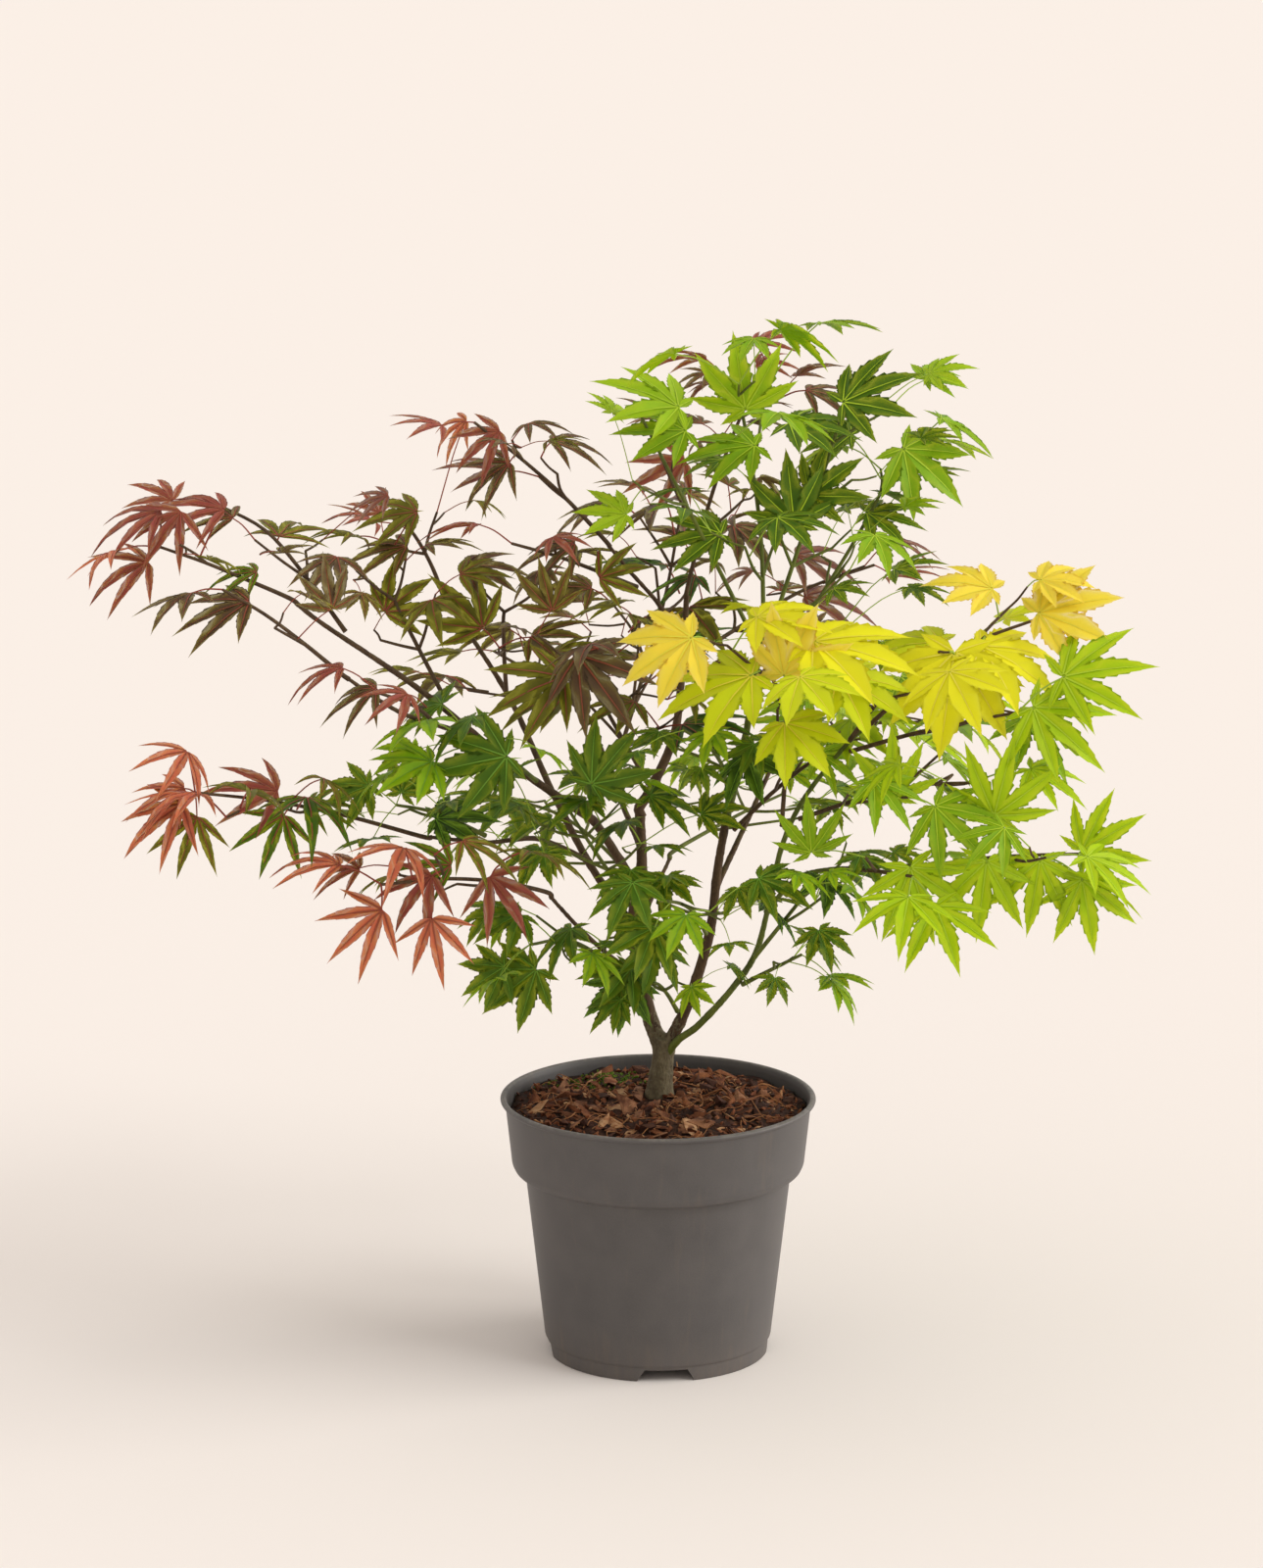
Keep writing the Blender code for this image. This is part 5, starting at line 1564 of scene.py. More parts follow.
def leaf_tree() -> NodeTree:
    """The tree that sets a blade on every point and gives it its colours.

    Its points carry the attributes turn, size, form and tint.
    """
    paints = [*(f"Tint {number}" for number in range(TINTS)), "Vein"]
    inputs = {"Points": ("NodeSocketGeometry",), "Forms": ("NodeSocketCollection",)}
    inputs |= {paint: ("NodeSocketMaterial",) for paint in paints}
    graph = new_group("leaves", "GeometryNodeTree", inputs, {"Mesh": "NodeSocketGeometry"})
    given = graph.add("NodeGroupInput")
    values = {"Collection": given.outputs["Forms"], "Separate Children": True, "Reset Children": True}
    forms = graph.add("GeometryNodeCollectionInfo", values)
    values = {
        "Points": given.outputs["Points"],
        "Instance": forms.outputs[0],
        "Pick Instance": True,
        "Instance Index": graph.attribute("form", "INT"),
        "Rotation": graph.attribute("turn", "QUATERNION"),
        "Scale": graph.attribute("size"),
    }
    placed = graph.add("GeometryNodeInstanceOnPoints", values)
    result = graph.add("GeometryNodeRealizeInstances", {0: placed.outputs[0]}).outputs[0]
    for number, paint in enumerate(paints):
        attribute, value = ("vein", 1) if paint == "Vein" else ("tint", number)
        values = {"A_INT": graph.attribute(attribute, "INT"), "B_INT": value}
        chosen = graph.add("FunctionNodeCompare", values, data_type="INT", operation="EQUAL")
        values = {"Geometry": result, "Selection": chosen.outputs[0], "Material": given.outputs[paint]}
        result = graph.add("GeometryNodeSetMaterial", values).outputs[0]
    graph.add("NodeGroupOutput", {0: result})
    return graph.tree


# The crown.


@dataclass(frozen=True)
class Leader:
    """A leaf that stands out, and so has its own place: it roots on the nearest twig of its mass."""

    spray: str
    sight: tuple[int, int]  # where its joint shows in the camera's frame, in pixels from the top left
    depth: float  # of its joint, behind the middle of the pot
    axis: Triple
    turn: float  # degrees that its upper side turns from the sky to the front
    length: float
    tint: int  # from 0, as at the foot of its mass, to 3, as on its outer leaves


@dataclass(frozen=True)
class Spray:
    """A foliage mass: its stem's route from a limb, its side shoots and its leaves."""

    name: str
    parent: str
    at: float
    route: Route
    shoot: float  # longest side shoot
    leaf: float  # length of a leaf's middle lobe
    droop: float  # degrees that a blade hangs below the level
    habit: Habit
    seed: int
    lift: float = 0.35  # how steeply its stalks rise


@dataclass
class Twig:
    """A round twig along its points, which is drawn as far as the last leaf that it keeps."""

    points: tuple[Vector, ...]
    foot_radius: float
    tip_radius: float
    host: Twig | None = None
    host_share: float = 0.0
    kept: float = 0.0

    def keep(self, share: float) -> None:
        """Marks that the twig carries something at a share of its length."""
        self.kept = max(self.kept, share)
        if self.host:
            self.host.keep(self.host_share)


@dataclass
class Leaf:
    """A blade on its stalk: where it is rooted, where the blade starts and how it lies."""

    root: Vector
    joint: Vector
    axis: Vector
    normal: Vector
    length: float
    twig: Twig
    share: float  # of the twig's length, where its stalk leaves it
    tint: int = 0


LIMBS: tuple[Limb, ...] = (
    Limb(
        "left_stem_lower", "trunk", 0.8,
        ((-4, 14, 200), (-11, 17, 232), (-15, 20, 261), (-10, 23, 292), (-11, 28, 326)),
        5.6, 4.3, Bark.BROWN,
    ),
    Limb(
        "left_stem_upper", "left_stem_lower", 1.0,
        ((-3, 30, 343), (10, 34, 374), (14, 38, 412), (17, 42, 456)),
        4.0, 2.4, Bark.BROWN,
    ),
    Limb(
        "middle_stem_lower", "trunk", 0.8,
        ((12, 7, 200), (21, 2, 224), (31, -4, 262), (35, -8, 299), (40, -8, 330)),
        4.5, 3.5, Bark.BROWN,
    ),
    Limb(
        "middle_stem_upper", "middle_stem_lower", 1.0,
        ((49, -7, 368), (55, -5, 402), (61, -2, 440)),
        3.3, 2.3, Bark.GREEN,
    ),
    Limb(
        "right_stem_lower", "trunk", 0.62,
        ((12, 3, 192), (24, -4, 203), (44, -16, 229), (58, -25, 254), (66, -35, 290)),
        2.9, 2.3, Bark.GREEN,
    ),
    Limb(
        "right_stem_upper", "right_stem_lower", 1.0,
        ((72, -44, 322), (84, -52, 352), (108, -60, 386), (124, -62, 401)),
        2.2, 1.7, Bark.GREEN,
    ),
    Limb(
        "long_left_bough", "left_stem_lower", 0.68,
        ((-36, 10, 322), (-48, 5, 333), (-90, -6, 366), (-141, -16, 411), (-196, -24, 451), (-212, -25, 464)),
        3.6, 1.9, Bark.BROWN,
    ),
    Limb(
        "lower_left_bough", "long_left_bough", 0.52,
        ((-150, -34, 400), (-182, -46, 424)),
        2.0, 1.6, Bark.BROWN,
    ),
    Limb(
        "steep_left_bough", "left_stem_lower", 0.52,
        ((-40, 31, 292), (-63, 44, 334), (-87, 60, 385), (-111, 74, 422), (-126, 80, 442)),
        3.2, 1.8, Bark.BROWN,
    ),
    Limb(
        "low_left_bough", "steep_left_bough", 0.22,
        ((-72, 16, 313), (-100, -6, 316), (-136, -22, 323)),
        2.2, 1.6, Bark.BROWN,
    ),
    Limb(
        "low_front_bough", "left_stem_lower", 0.3,
        ((-28, 0, 244), (-46, -20, 266), (-64, -42, 292)),
        2.1, 1.6, Bark.BROWN,
    ),
    Limb(
        "top_left_bough", "left_stem_upper", 0.8,
        ((-2, 34, 455), (-18, 29, 474), (-30, 25, 490)),
        1.9, 1.5, Bark.BROWN,
    ),
    Limb(
        "right_tier_bough", "right_stem_lower", 0.92,
        ((84, -48, 306), (120, -70, 316), (162, -88, 322)),
        1.9, 1.5, Bark.GREEN,
    ),
    Limb("back_left_bough", "left_stem_lower", 0.86, ((-24, 62, 330), (-40, 96, 366)), 2.4, 1.8, Bark.BROWN),
    Limb("back_right_bough", "middle_stem_lower", 0.72, ((58, 34, 330), (78, 74, 366)), 2.3, 1.7, Bark.BROWN),
    Limb("back_low_bough", "left_stem_lower", 0.4, ((-6, 50, 262), (8, 84, 286)), 2.1, 1.6, Bark.BROWN),
)

SPRAYS: tuple[Spray, ...] = (
    Spray(
        "far_left_spray", "long_left_bough", 1.0, ((-258, -28, 486), (-290, -30, 498)),
        48, 52, 8, Habit.RED, 11,
    ),
    Spray(
        "far_left_upper_spray", "long_left_bough", 0.84, ((-226, 0, 498), (-262, 8, 518)),
        42, 52, 6, Habit.PURPLE, 12,
    ),
    Spray(
        "left_lower_spray", "lower_left_bough", 1.0, ((-222, -52, 458), (-252, -58, 478)),
        42, 50, 8, Habit.BRONZE, 13,
    ),
    Spray(
        "left_hanging_spray", "lower_left_bough", 0.3, ((-142, -60, 410), (-162, -72, 420)),
        28, 50, 12, Habit.PURPLE, 14,
    ),
    Spray(
        "left_inner_spray", "long_left_bough", 0.58, ((-156, 14, 458), (-166, 28, 486)),
        42, 52, 10, Habit.BRONZE, 15,
    ),
    Spray(
        "upright_left_spray", "steep_left_bough", 1.0, ((-142, 84, 478), (-162, 86, 502)),
        32, 48, 8, Habit.RED, 16,
    ),
    Spray(
        "steep_left_spray", "steep_left_bough", 0.72, ((-92, 34, 446), (-84, 16, 470)),
        46, 56, 12, Habit.BRONZE, 17,
    ),
    Spray(
        "bronze_centre_spray", "left_stem_upper", 0.12, ((-34, -24, 406), (-52, -62, 448)),
        55, 62, 16, Habit.BRONZE, 18,
    ),
    Spray(
        "top_left_spray", "top_left_bough", 1.0, ((-66, 16, 530), (-108, 4, 566)),
        42, 50, 6, Habit.PURPLE, 19, lift=0.3,
    ),
    Spray(
        "top_left_low_spray", "top_left_bough", 0.5, ((-54, -4, 486), (-86, -18, 498)),
        38, 52, 10, Habit.PURPLE, 20,
    ),
    Spray(
        "low_left_spray", "low_left_bough", 1.0, ((-206, -42, 346), (-270, -58, 358)),
        44, 60, 14, Habit.RED, 21, lift=0.85,
    ),
    Spray(
        "low_left_inner_spray", "low_left_bough", 0.6, ((-130, -26, 338), (-154, -38, 346)),
        30, 52, 12, Habit.GREEN, 22,
    ),
    Spray(
        "low_red_spray", "low_front_bough", 1.0, ((-110, -80, 312), (-160, -104, 314)),
        46, 60, 18, Habit.RED, 23,
    ),
    Spray(
        "gold_front_spray", "right_stem_upper", 0.25, ((70, -104, 424), (38, -134, 460)),
        58, 68, 14, Habit.GOLD, 38,
    ),
    Spray(
        "gold_right_spray", "right_stem_upper", 1.0, ((170, -66, 442), (216, -68, 462)),
        56, 66, 8, Habit.GOLD, 39,
    ),
    Spray(
        "gold_middle_spray", "right_stem_upper", 0.84, ((126, -92, 420), (140, -126, 444)),
        40, 62, 12, Habit.GOLD, 51,
    ),
    Spray(
        "lime_upper_spray", "right_stem_upper", 0.78, ((156, -88, 402), (204, -108, 416)),
        54, 62, 18, Habit.LIME, 40,
    ),
    Spray(
        "lime_middle_spray", "right_stem_upper", 0.4, ((138, -92, 368), (188, -112, 376)),
        52, 62, 24, Habit.LIME, 41,
    ),
    Spray(
        "tier_spray", "right_tier_bough", 1.0, ((196, -102, 330), (240, -112, 334)),
        50, 60, 26, Habit.LIME, 42,
    ),
    Spray(
        "tier_inner_spray", "right_tier_bough", 0.5, ((126, -104, 322), (144, -134, 326)),
        38, 58, 26, Habit.LIME, 43,
    ),
    Spray(
        "top_main_spray", "middle_stem_upper", 1.0, ((58, -4, 520), (42, -12, 604)),
        52, 60, 6, Habit.UPPER, 31,
    ),
    Spray(
        "top_left_green_spray", "middle_stem_upper", 0.92, ((22, -26, 510), (-12, -46, 580)),
        44, 56, 4, Habit.UPPER, 32,
    ),
    Spray(
        "top_right_spray", "middle_stem_upper", 0.8, ((92, 10, 520), (114, 20, 588)),
        46, 56, 8, Habit.UPPER, 33,
    ),
    Spray(
        "far_top_right_spray", "middle_stem_upper", 0.62, ((116, 24, 492), (146, 32, 550)),
        28, 54, 12, Habit.UPPER, 34,
    ),
    Spray(
        "top_front_spray", "middle_stem_upper", 0.48, ((76, -50, 470), (90, -80, 506)),
        50, 58, 16, Habit.UPPER, 35,
    ),
    Spray(
        "low_green_spray", "left_stem_lower", 0.22, ((-46, -14, 256), (-76, -40, 262)),
        42, 52, 24, Habit.GREEN, 24,
    ),
    Spray(
        "foot_spray", "middle_stem_lower", 0.16, ((2, -24, 232), (-8, -42, 240)),
        26, 46, 30, Habit.GREEN, 25,
    ),
    Spray(
        "centre_left_spray", "left_stem_lower", 0.6, ((-38, -34, 318), (-56, -68, 356)),
        50, 56, 22, Habit.GREEN, 26,
    ),
    Spray(
        "left_green_spray", "long_left_bough", 0.34, ((-92, -44, 378), (-112, -74, 392)),
        34, 54, 18, Habit.GREEN, 27,
    ),
    Spray(
        "centre_front_spray", "middle_stem_lower", 0.52, ((18, -62, 290), (0, -110, 306)),
        52, 52, 24, Habit.GREEN, 28,
    ),
    Spray(
        "centre_right_spray", "right_stem_lower", 0.62, ((78, -68, 290), (94, -104, 322)),
        50, 50, 24, Habit.GREEN, 29,
    ),
    Spray(
        "centre_high_spray", "middle_stem_upper", 0.1, ((34, -58, 380), (14, -100, 404)),
        46, 50, 22, Habit.GREEN, 30,
    ),
    Spray(
        "upper_right_spray", "middle_stem_lower", 0.92, ((86, -22, 366), (122, -34, 384)),
        46, 54, 18, Habit.LIME, 50,
    ),
    Spray(
        "low_right_spray", "right_stem_lower", 0.5, ((68, -34, 246), (84, -48, 258)),
        28, 46, 26, Habit.GREEN, 44,
    ),
    Spray(
        "purple_top_spray", "left_stem_upper", 1.0, ((36, 50, 530), (64, 62, 594)),
        40, 48, 6, Habit.PURPLE, 36,
    ),
    Spray(
        "purple_right_spray", "left_stem_upper", 0.7, ((84, 92, 448), (132, 112, 462)),
        42, 52, 4, Habit.PURPLE, 37,
    ),
    Spray(
        "back_left_spray", "back_left_bough", 1.0, ((-70, 140, 384), (-102, 176, 396)),
        66, 58, 12, Habit.BRONZE, 45,
    ),
    Spray(
        "back_top_spray", "back_left_bough", 0.6, ((2, 120, 430), (14, 148, 486)),
        60, 58, 12, Habit.BRONZE, 46,
    ),
    Spray(
        "back_right_spray", "back_right_bough", 1.0, ((118, 124, 356), (158, 160, 362)),
        64, 60, 20, Habit.LIME, 47,
    ),
    Spray(
        "back_low_right_spray", "back_low_bough", 1.0, ((46, 128, 300), (78, 168, 306)),
        62, 58, 22, Habit.GREEN, 48,
    ),
    Spray(
        "back_low_left_spray", "back_low_bough", 0.55, ((-48, 106, 300), (-92, 140, 310)),
        62, 58, 18, Habit.GREEN, 49,
    ),
)


LEADERS: tuple[Leader, ...] = (
    Leader("top_main_spray", (761, 417), -24, (-0.12, -0.25, 1), 75, 50, 3),
    Leader("top_main_spray", (770, 455), -40, (-1, -0.2, -0.05), 25, 46, 2),
    Leader("top_main_spray", (735, 545), -20, (-1, -0.1, -0.1), 35, 42, 0),
    Leader("top_left_green_spray", (692, 415), -50, (-1, -0.1, 0.5), 25, 52, 3),
    Leader("top_left_green_spray", (700, 440), -42, (-1, -0.2, 0.1), 35, 44, 2),
    Leader("top_left_green_spray", (640, 524), -40, (-1, -0.1, 0.15), 40, 32, 3),
    Leader("top_right_spray", (861, 411), 10, (1, -0.1, 0.55), 35, 50, 1),
    Leader("top_right_spray", (805, 432), -6, (1, -0.2, 0), 18, 48, 1),
    Leader("top_right_spray", (810, 533), -10, (-0.15, -0.1, 1), 75, 44, 0),
    Leader("top_right_spray", (828, 507), 0, (0.7, -0.2, 0.6), 62, 40, 1),
    Leader("far_top_right_spray", (922, 458), 20, (0.7, -0.2, -0.55), 50, 50, 2),
    Leader("far_top_right_spray", (884, 523), 25, (1, -0.1, -0.12), 22, 38, 1),
    Leader("purple_top_spray", (770, 350), 60, (1, 0.1, 0.35), 22, 34, 3),
    Leader("purple_top_spray", (772, 371), 60, (1, 0, 0.2), 25, 30, 3),
    Leader("purple_top_spray", (822, 398), 66, (1, 0, -0.05), 15, 44, 1),
    Leader("purple_top_spray", (700, 470), 50, (-0.8, -0.3, -0.3), 60, 44, 3),
    Leader("purple_right_spray", (812, 566), 92, (1, 0, -0.12), 22, 50, 2),
    Leader("purple_right_spray", (820, 608), 100, (1, 0, -0.05), 22, 54, 2),
    Leader("gold_front_spray", (706, 650), -132, (-0.9, -0.3, -0.35), 40, 52, 3),
    Leader("gold_front_spray", (772, 630), -112, (0.8, -0.3, 0.1), 22, 46, 2),
    Leader("gold_front_spray", (800, 690), -122, (0.4, -0.2, 1), 62, 46, 3),
    Leader("gold_front_spray", (768, 690), -126, (-1, -0.2, -0.25), 24, 58, 1),
    Leader("gold_front_spray", (800, 738), -118, (0.6, -0.5, -0.5), 45, 42, 1),
    Leader("gold_front_spray", (816, 691), -164, (0.45, -0.88, -0.25), 34, 42, 0),
    Leader("gold_middle_spray", (830, 655), -118, (1, -0.3, -0.08), 20, 64, 2),
    Leader("gold_middle_spray", (855, 690), -110, (0.9, -0.4, -0.3), 24, 54, 1),
    Leader("gold_right_spray", (975, 665), -88, (-0.1, -0.55, -0.7), 46, 64, 2),
    Leader("gold_right_spray", (1000, 660), -80, (0.9, -0.4, -0.3), 20, 58, 2),
    Leader("gold_right_spray", (960, 656), -64, (-1, 0.1, 0.05), 12, 50, 1),
    Leader("gold_right_spray", (1060, 625), -72, (1, -0.1, 0.35), 40, 50, 3),
    Leader("gold_right_spray", (1062, 592), -66, (1, 0, 0.15), 25, 34, 3),
    Leader("gold_right_spray", (1012, 600), -60, (-1, 0, 0.35), 22, 42, 3),
    Leader("lime_upper_spray", (1085, 690), -104, (1, -0.2, 0.25), 48, 60, 3),
    Leader("lime_upper_spray", (1055, 722), -108, (0.8, -0.4, -0.5), 60, 54, 2),
    Leader("lime_middle_spray", (1014, 832), -118, (0.2, -0.2, 1), 74, 50, 3),
    Leader("lime_middle_spray", (912, 812), -112, (-0.1, -0.2, 1), 74, 42, 2),
    Leader("lime_middle_spray", (955, 822), -120, (0.6, -0.4, -0.5), 62, 46, 1),
    Leader("tier_spray", (1007, 880), -118, (-0.1, -0.2, -1), 74, 48, 3),
    Leader("tier_spray", (1062, 878), -114, (-0.15, -0.2, -1), 68, 46, 3),
    Leader("tier_spray", (1104, 868), -112, (0.8, -0.2, 0.5), 72, 46, 3),
    Leader("tier_spray", (1104, 898), -116, (0.25, -0.3, -1), 76, 46, 3),
    Leader("tier_inner_spray", (929, 885), -128, (0.3, -0.3, -1), 74, 50, 2),
    Leader("tier_inner_spray", (927, 915), -166, (-0.2, -0.95, -0.3), 32, 48, 2),
    Leader("tier_inner_spray", (828, 870), -112, (-0.1, -0.2, 1), 74, 36, 1),
    Leader("low_left_spray", (188, 805), -60, (-1, -0.2, -0.2), 28, 44, 3),
    Leader("low_left_spray", (186, 820), -66, (-0.8, -0.3, -0.5), 50, 50, 3),
    Leader("low_left_spray", (202, 833), -68, (-0.35, -0.4, -0.85), 66, 42, 1),
    Leader("low_left_spray", (284, 808), -54, (-0.9, -0.2, 0.2), 45, 50, 2),
    Leader("low_left_spray", (290, 832), -64, (-0.4, -0.4, -0.85), 66, 44, 0),
    Leader("low_left_spray", (316, 822), -50, (1, 0.1, 0.25), 32, 34, 0),
    Leader("low_left_inner_spray", (410, 808), -36, (0.3, 0, 1), 66, 30, 1),
    Leader("low_left_inner_spray", (376, 802), -40, (-0.8, -0.2, -0.3), 50, 32, 1),
    Leader("low_left_inner_spray", (445, 835), -34, (1, 0, 0.1), 30, 40, 0),
    Leader("low_red_spray", (460, 883), -90, (-1, -0.1, 0.15), 45, 40, 0),
    Leader("low_red_spray", (390, 928), -108, (-0.75, -0.3, -0.5), 58, 50, 3),
    Leader("low_red_spray", (440, 938), -108, (0.2, -0.4, -0.8), 66, 44, 3),
    Leader("low_red_spray", (440, 893), -98, (-0.6, -0.3, -0.5), 48, 46, 2),
    Leader("low_red_spray", (500, 895), -92, (0.5, -0.3, -0.6), 50, 48, 2),
    Leader("left_green_spray", (517, 772), -84, (-0.9, -0.3, -0.15), 66, 50, 1),
    Leader("centre_left_spray", (603, 800), -84, (0.5, -0.2, 0.7), 74, 44, 1),
    Leader("foot_spray", (637, 998), -44, (-0.1, -0.3, -1), 78, 36, 0),
    Leader("low_green_spray", (548, 990), -48, (-0.8, -0.2, -0.6), 62, 42, 1),
    Leader("low_green_spray", (514, 986), -50, (-0.8, -0.2, -0.4), 60, 34, 1),
    Leader("far_left_spray", (164, 521), -30, (-1, -0.1, -0.12), 18, 52, 2),
    Leader("far_left_spray", (184, 521), -36, (-0.5, -0.4, -0.6), 56, 44, 2),
    Leader("far_left_spray", (151, 574), -30, (-0.9, -0.3, -0.15), 40, 46, 2),
    Leader("far_left_spray", (228, 520), -24, (-1, 0, 0.3), 25, 50, 2),
    Leader("far_left_spray", (263, 584), -28, (-1, -0.1, 0), 24, 36, 0),
    Leader("far_left_upper_spray", (285, 547), 0, (0.2, 0.7, 0.3), 20, 46, 0),
    Leader("far_left_upper_spray", (397, 506), 10, (-1, -0.1, -0.15), 25, 30, 2),
    Leader("left_lower_spray", (255, 614), -52, (-1, -0.1, -0.2), 22, 54, 3),
    Leader("left_lower_spray", (339, 622), -56, (-0.2, 0, 1), 60, 34, 3),
    Leader("left_hanging_spray", (384, 703), -68, (-0.9, -0.1, -0.3), 24, 42, 1),
    Leader("left_inner_spray", (392, 625), 10, (0.6, 0.3, 0.5), 58, 42, 1),
    Leader("left_inner_spray", (415, 558), 30, (-1, 0, -0.1), 20, 46, 2),
    Leader("left_inner_spray", (426, 522), 34, (-1, -0.1, -0.05), 30, 42, 1),
    Leader("upright_left_spray", (476, 430), 84, (-0.9, 0, -0.35), 30, 34, 3),
    Leader("top_left_spray", (511, 440), 4, (-0.8, -0.2, -0.4), 50, 40, 3),
    Leader("top_left_spray", (521, 471), 0, (-0.9, -0.1, -0.4), 35, 42, 1),
    Leader("top_left_spray", (562, 451), 10, (1, 0.2, 0), 16, 42, 1),
    Leader("top_left_low_spray", (587, 554), -12, (-1, -0.1, -0.2), 26, 44, 1),
    Leader("top_left_low_spray", (612, 590), -20, (0.6, 0, 0.2), 60, 38, 0),
    Leader("steep_left_spray", (473, 577), 20, (1, 0, 0.1), 18, 44, 3),
    Leader("steep_left_spray", (493, 641), 6, (-0.6, -0.2, 0.7), 66, 46, 1),
    Leader("bronze_centre_spray", (564, 623), -50, (-0.2, -0.1, 1), 70, 36, 2),
    Leader("bronze_centre_spray", (590, 668), -76, (0.5, -0.4, -0.5), 66, 58, 3),
    Leader("bronze_centre_spray", (575, 690), -70, (-0.9, -0.3, -0.2), 50, 54, 1),
)


@dataclass
class Crown:
    """Every foliage mass, grown by the seeded rule, and the pieces that they are joined into."""

    wood: Wood
    studio: Studio
    internode: float = 34.0
    stem_collar: float = 4.5
    fork_angle: float = math.radians(48.0)
    stem_radii: Pair = (1.6, 0.9)
    shoot_radii: Pair = (1.05, 0.75)
    fine_radii: Pair = (0.75, 0.6)
    stalk_radii: Pair = (0.65, 0.5)
    fine_reach: float = 0.45  # of the shoot that a fine twig grows on
    fine_leaf: float = 0.74  # of the length of the mass's leaves
    upright: float = 0.75  # how steep a stem is whose pairs each turn a quarter
    stem_shares: Triple = (0.36, 0.68, 1.0)  # where a stem has its knots above its collar
    stem_twists: Pair = (-25.0, 25.0)  # degrees that the pairs of shoots on a stem turn, at random
    leaf_twists: Pair = (-30.0, 30.0)  # and the pairs of leaves on a shoot
    tip_twists: Pair = (60.0, 120.0)  # and those at the tip of a stem
    fine_twists: Pair = (-40.0, 40.0)  # and those on a fine twig
    fine_turn: float = 0.9  # of a fine twig round its shoot, in radians
    shoot_reaches: Pair = (0.75, 1.15)
    shoot_fading: Pair = (1.15, 0.6)  # how long shoots are at the foot, and how much they lose to the tip
    shoot_rises: Pair = (-0.05, 0.25)
    shoot_pairs: tuple[Pair, ...] = ((0.55, 0.4), (1.0, 1.0))  # the place and the age of its leaves
    fine_places: Pair = (0.66, 0.80)
    fine_reaches: Pair = (0.7, 1.1)
    fine_age: float = 0.8
    bow: Pair = (0.05, 0.03)  # of a twig: to any side, and down
    lifts: Pair = (0.5, 1.5)
    spreads: Pair = (0.9, 1.35)  # of a pair of leaves, against the fork angle
    stalk_spans: Pair = (0.30, 0.52)
    stalk_arch: Pair = (0.55, 0.07)  # place and height
    stalk_whole: float = 50.0  # the length of a leaf from which its stalk has the full radius
    sway: tuple[Pair, Pair] = ((-0.35, 0.35), (-0.45, 0.25))  # of a blade: aside and to the front
    nod: float = 26.0
    roll: float = 34.0
    held_up: float = 0.5  # how much of a blade's bend its joint makes up for
    leaf_sizes: Pair = (0.84, 1.14)
    shrinking: float = 0.25  # of the youngest leaves
    light_depths: Pair = (90.0, 120.0)  # where blades start to turn to the front, and over how far
    light_lean: Triple = (0.65, 0.75, 0.45)  # off the outwards way, to the front and up
    light_fall: float = 0.55
    facings: Pair = (0.6, 1.3)
    layer: float = 0.12
    spacing: float = 0.41
    depth_share: float = 0.40  # how much a gap from front to back counts
    middle: float = 0.35  # of a blade
    reach: float = 0.9  # of a blade, that has to stay in its mass's space
    margin: Triple = (6.0, 6.0, -6.0)  # how far blades leave their mass's space
    ripening: float = 1.8  # above one, the autumn tints keep to the outer leaves
    ripe: float = 0.95  # how far the tints of the farthest leaves have come, and its chance
    ripe_chance: Pair = (-0.28, 0.22)
    sunk: float = 2.5  # how far a stem starts inside its limb
    leaves: dict[Habit, list[Leaf]] = field(default_factory=lambda: {habit: [] for habit in Habit})
    twigs: dict[Bark, list[Twig]] = field(default_factory=lambda: {bark: [] for bark in Bark})

    def stem_line(self, spray: Spray) -> Line:
        """The line of a mass's stem: it starts clear of its limb and ends at the route's end."""
        parent = self.wood.lines[spray.parent]
        foot, tangent = place_on(parent, spray.at)
        if spray.at == 1.0:
            start = foot + tangent * self.stem_collar
            return [foot + tangent * self.wood.clear, *smooth((start, *spray.route), 4)]
        stem = smooth((foot, *spray.route), 12)
        radii = self.wood.radii[spray.parent]
        along = spray.at * (len(radii) - 1)
        limb_radius = max(radii[int(along)], radii[math.ceil(along)])
        for knot, point in enumerate(stem[:-1]):
            lean = abs((stem[knot + 1] - point).normalized().dot(tangent))
            if distance_to(point, parent) > limb_radius + 2.0 * self.wood.clear + 2.0 * lean:
                return stem[knot:]
        raise ValueError(f"{spray.name} never leaves its limb")

    def stem_knots(self, line: Line) -> tuple[Vector, ...]:
        """The few knots of a stem."""
        shares = (0.0, self.stem_collar / length_of(line), *self.stem_shares)
        return tuple(place_on(line, share)[0] for share in shares)

    def grow_leaf(
        self, spray: Spray, twig: Twig, share: float, out: Vector, age: float, rng: random.Random
    ) -> Leaf:
        """A leaf rooted at a node, with its stalk going out and up and its blade hanging over."""
        foliage = spray.habit.value
        root = place_on(list(twig.points), share)[0]
        rise = (out + UP * (spray.lift * rng.uniform(*self.lifts))).normalized()
        stalk = rise * spray.leaf * rng.uniform(*self.stalk_spans) * foliage.stalk_reach
        level = Vector((out.x, out.y, 0.0)) + Vector([*(rng.uniform(*span) for span in self.sway), 0.0])
        droop = math.radians(spray.droop + rng.uniform(-self.nod, self.nod))
        droop -= self.held_up * foliage.blade.bend
        axis = level.normalized() * math.cos(droop) - UP * math.sin(droop)
        roll = Matrix.Rotation(math.radians(rng.uniform(-self.roll, self.roll)), 3, axis)
        normal = roll @ (UP - axis * axis.dot(UP)).normalized()
        length = spray.leaf * foliage.size * rng.uniform(*self.leaf_sizes) * (1.0 - self.shrinking * age)
        return Leaf(root, root + stalk, axis, normal, length, twig, share)

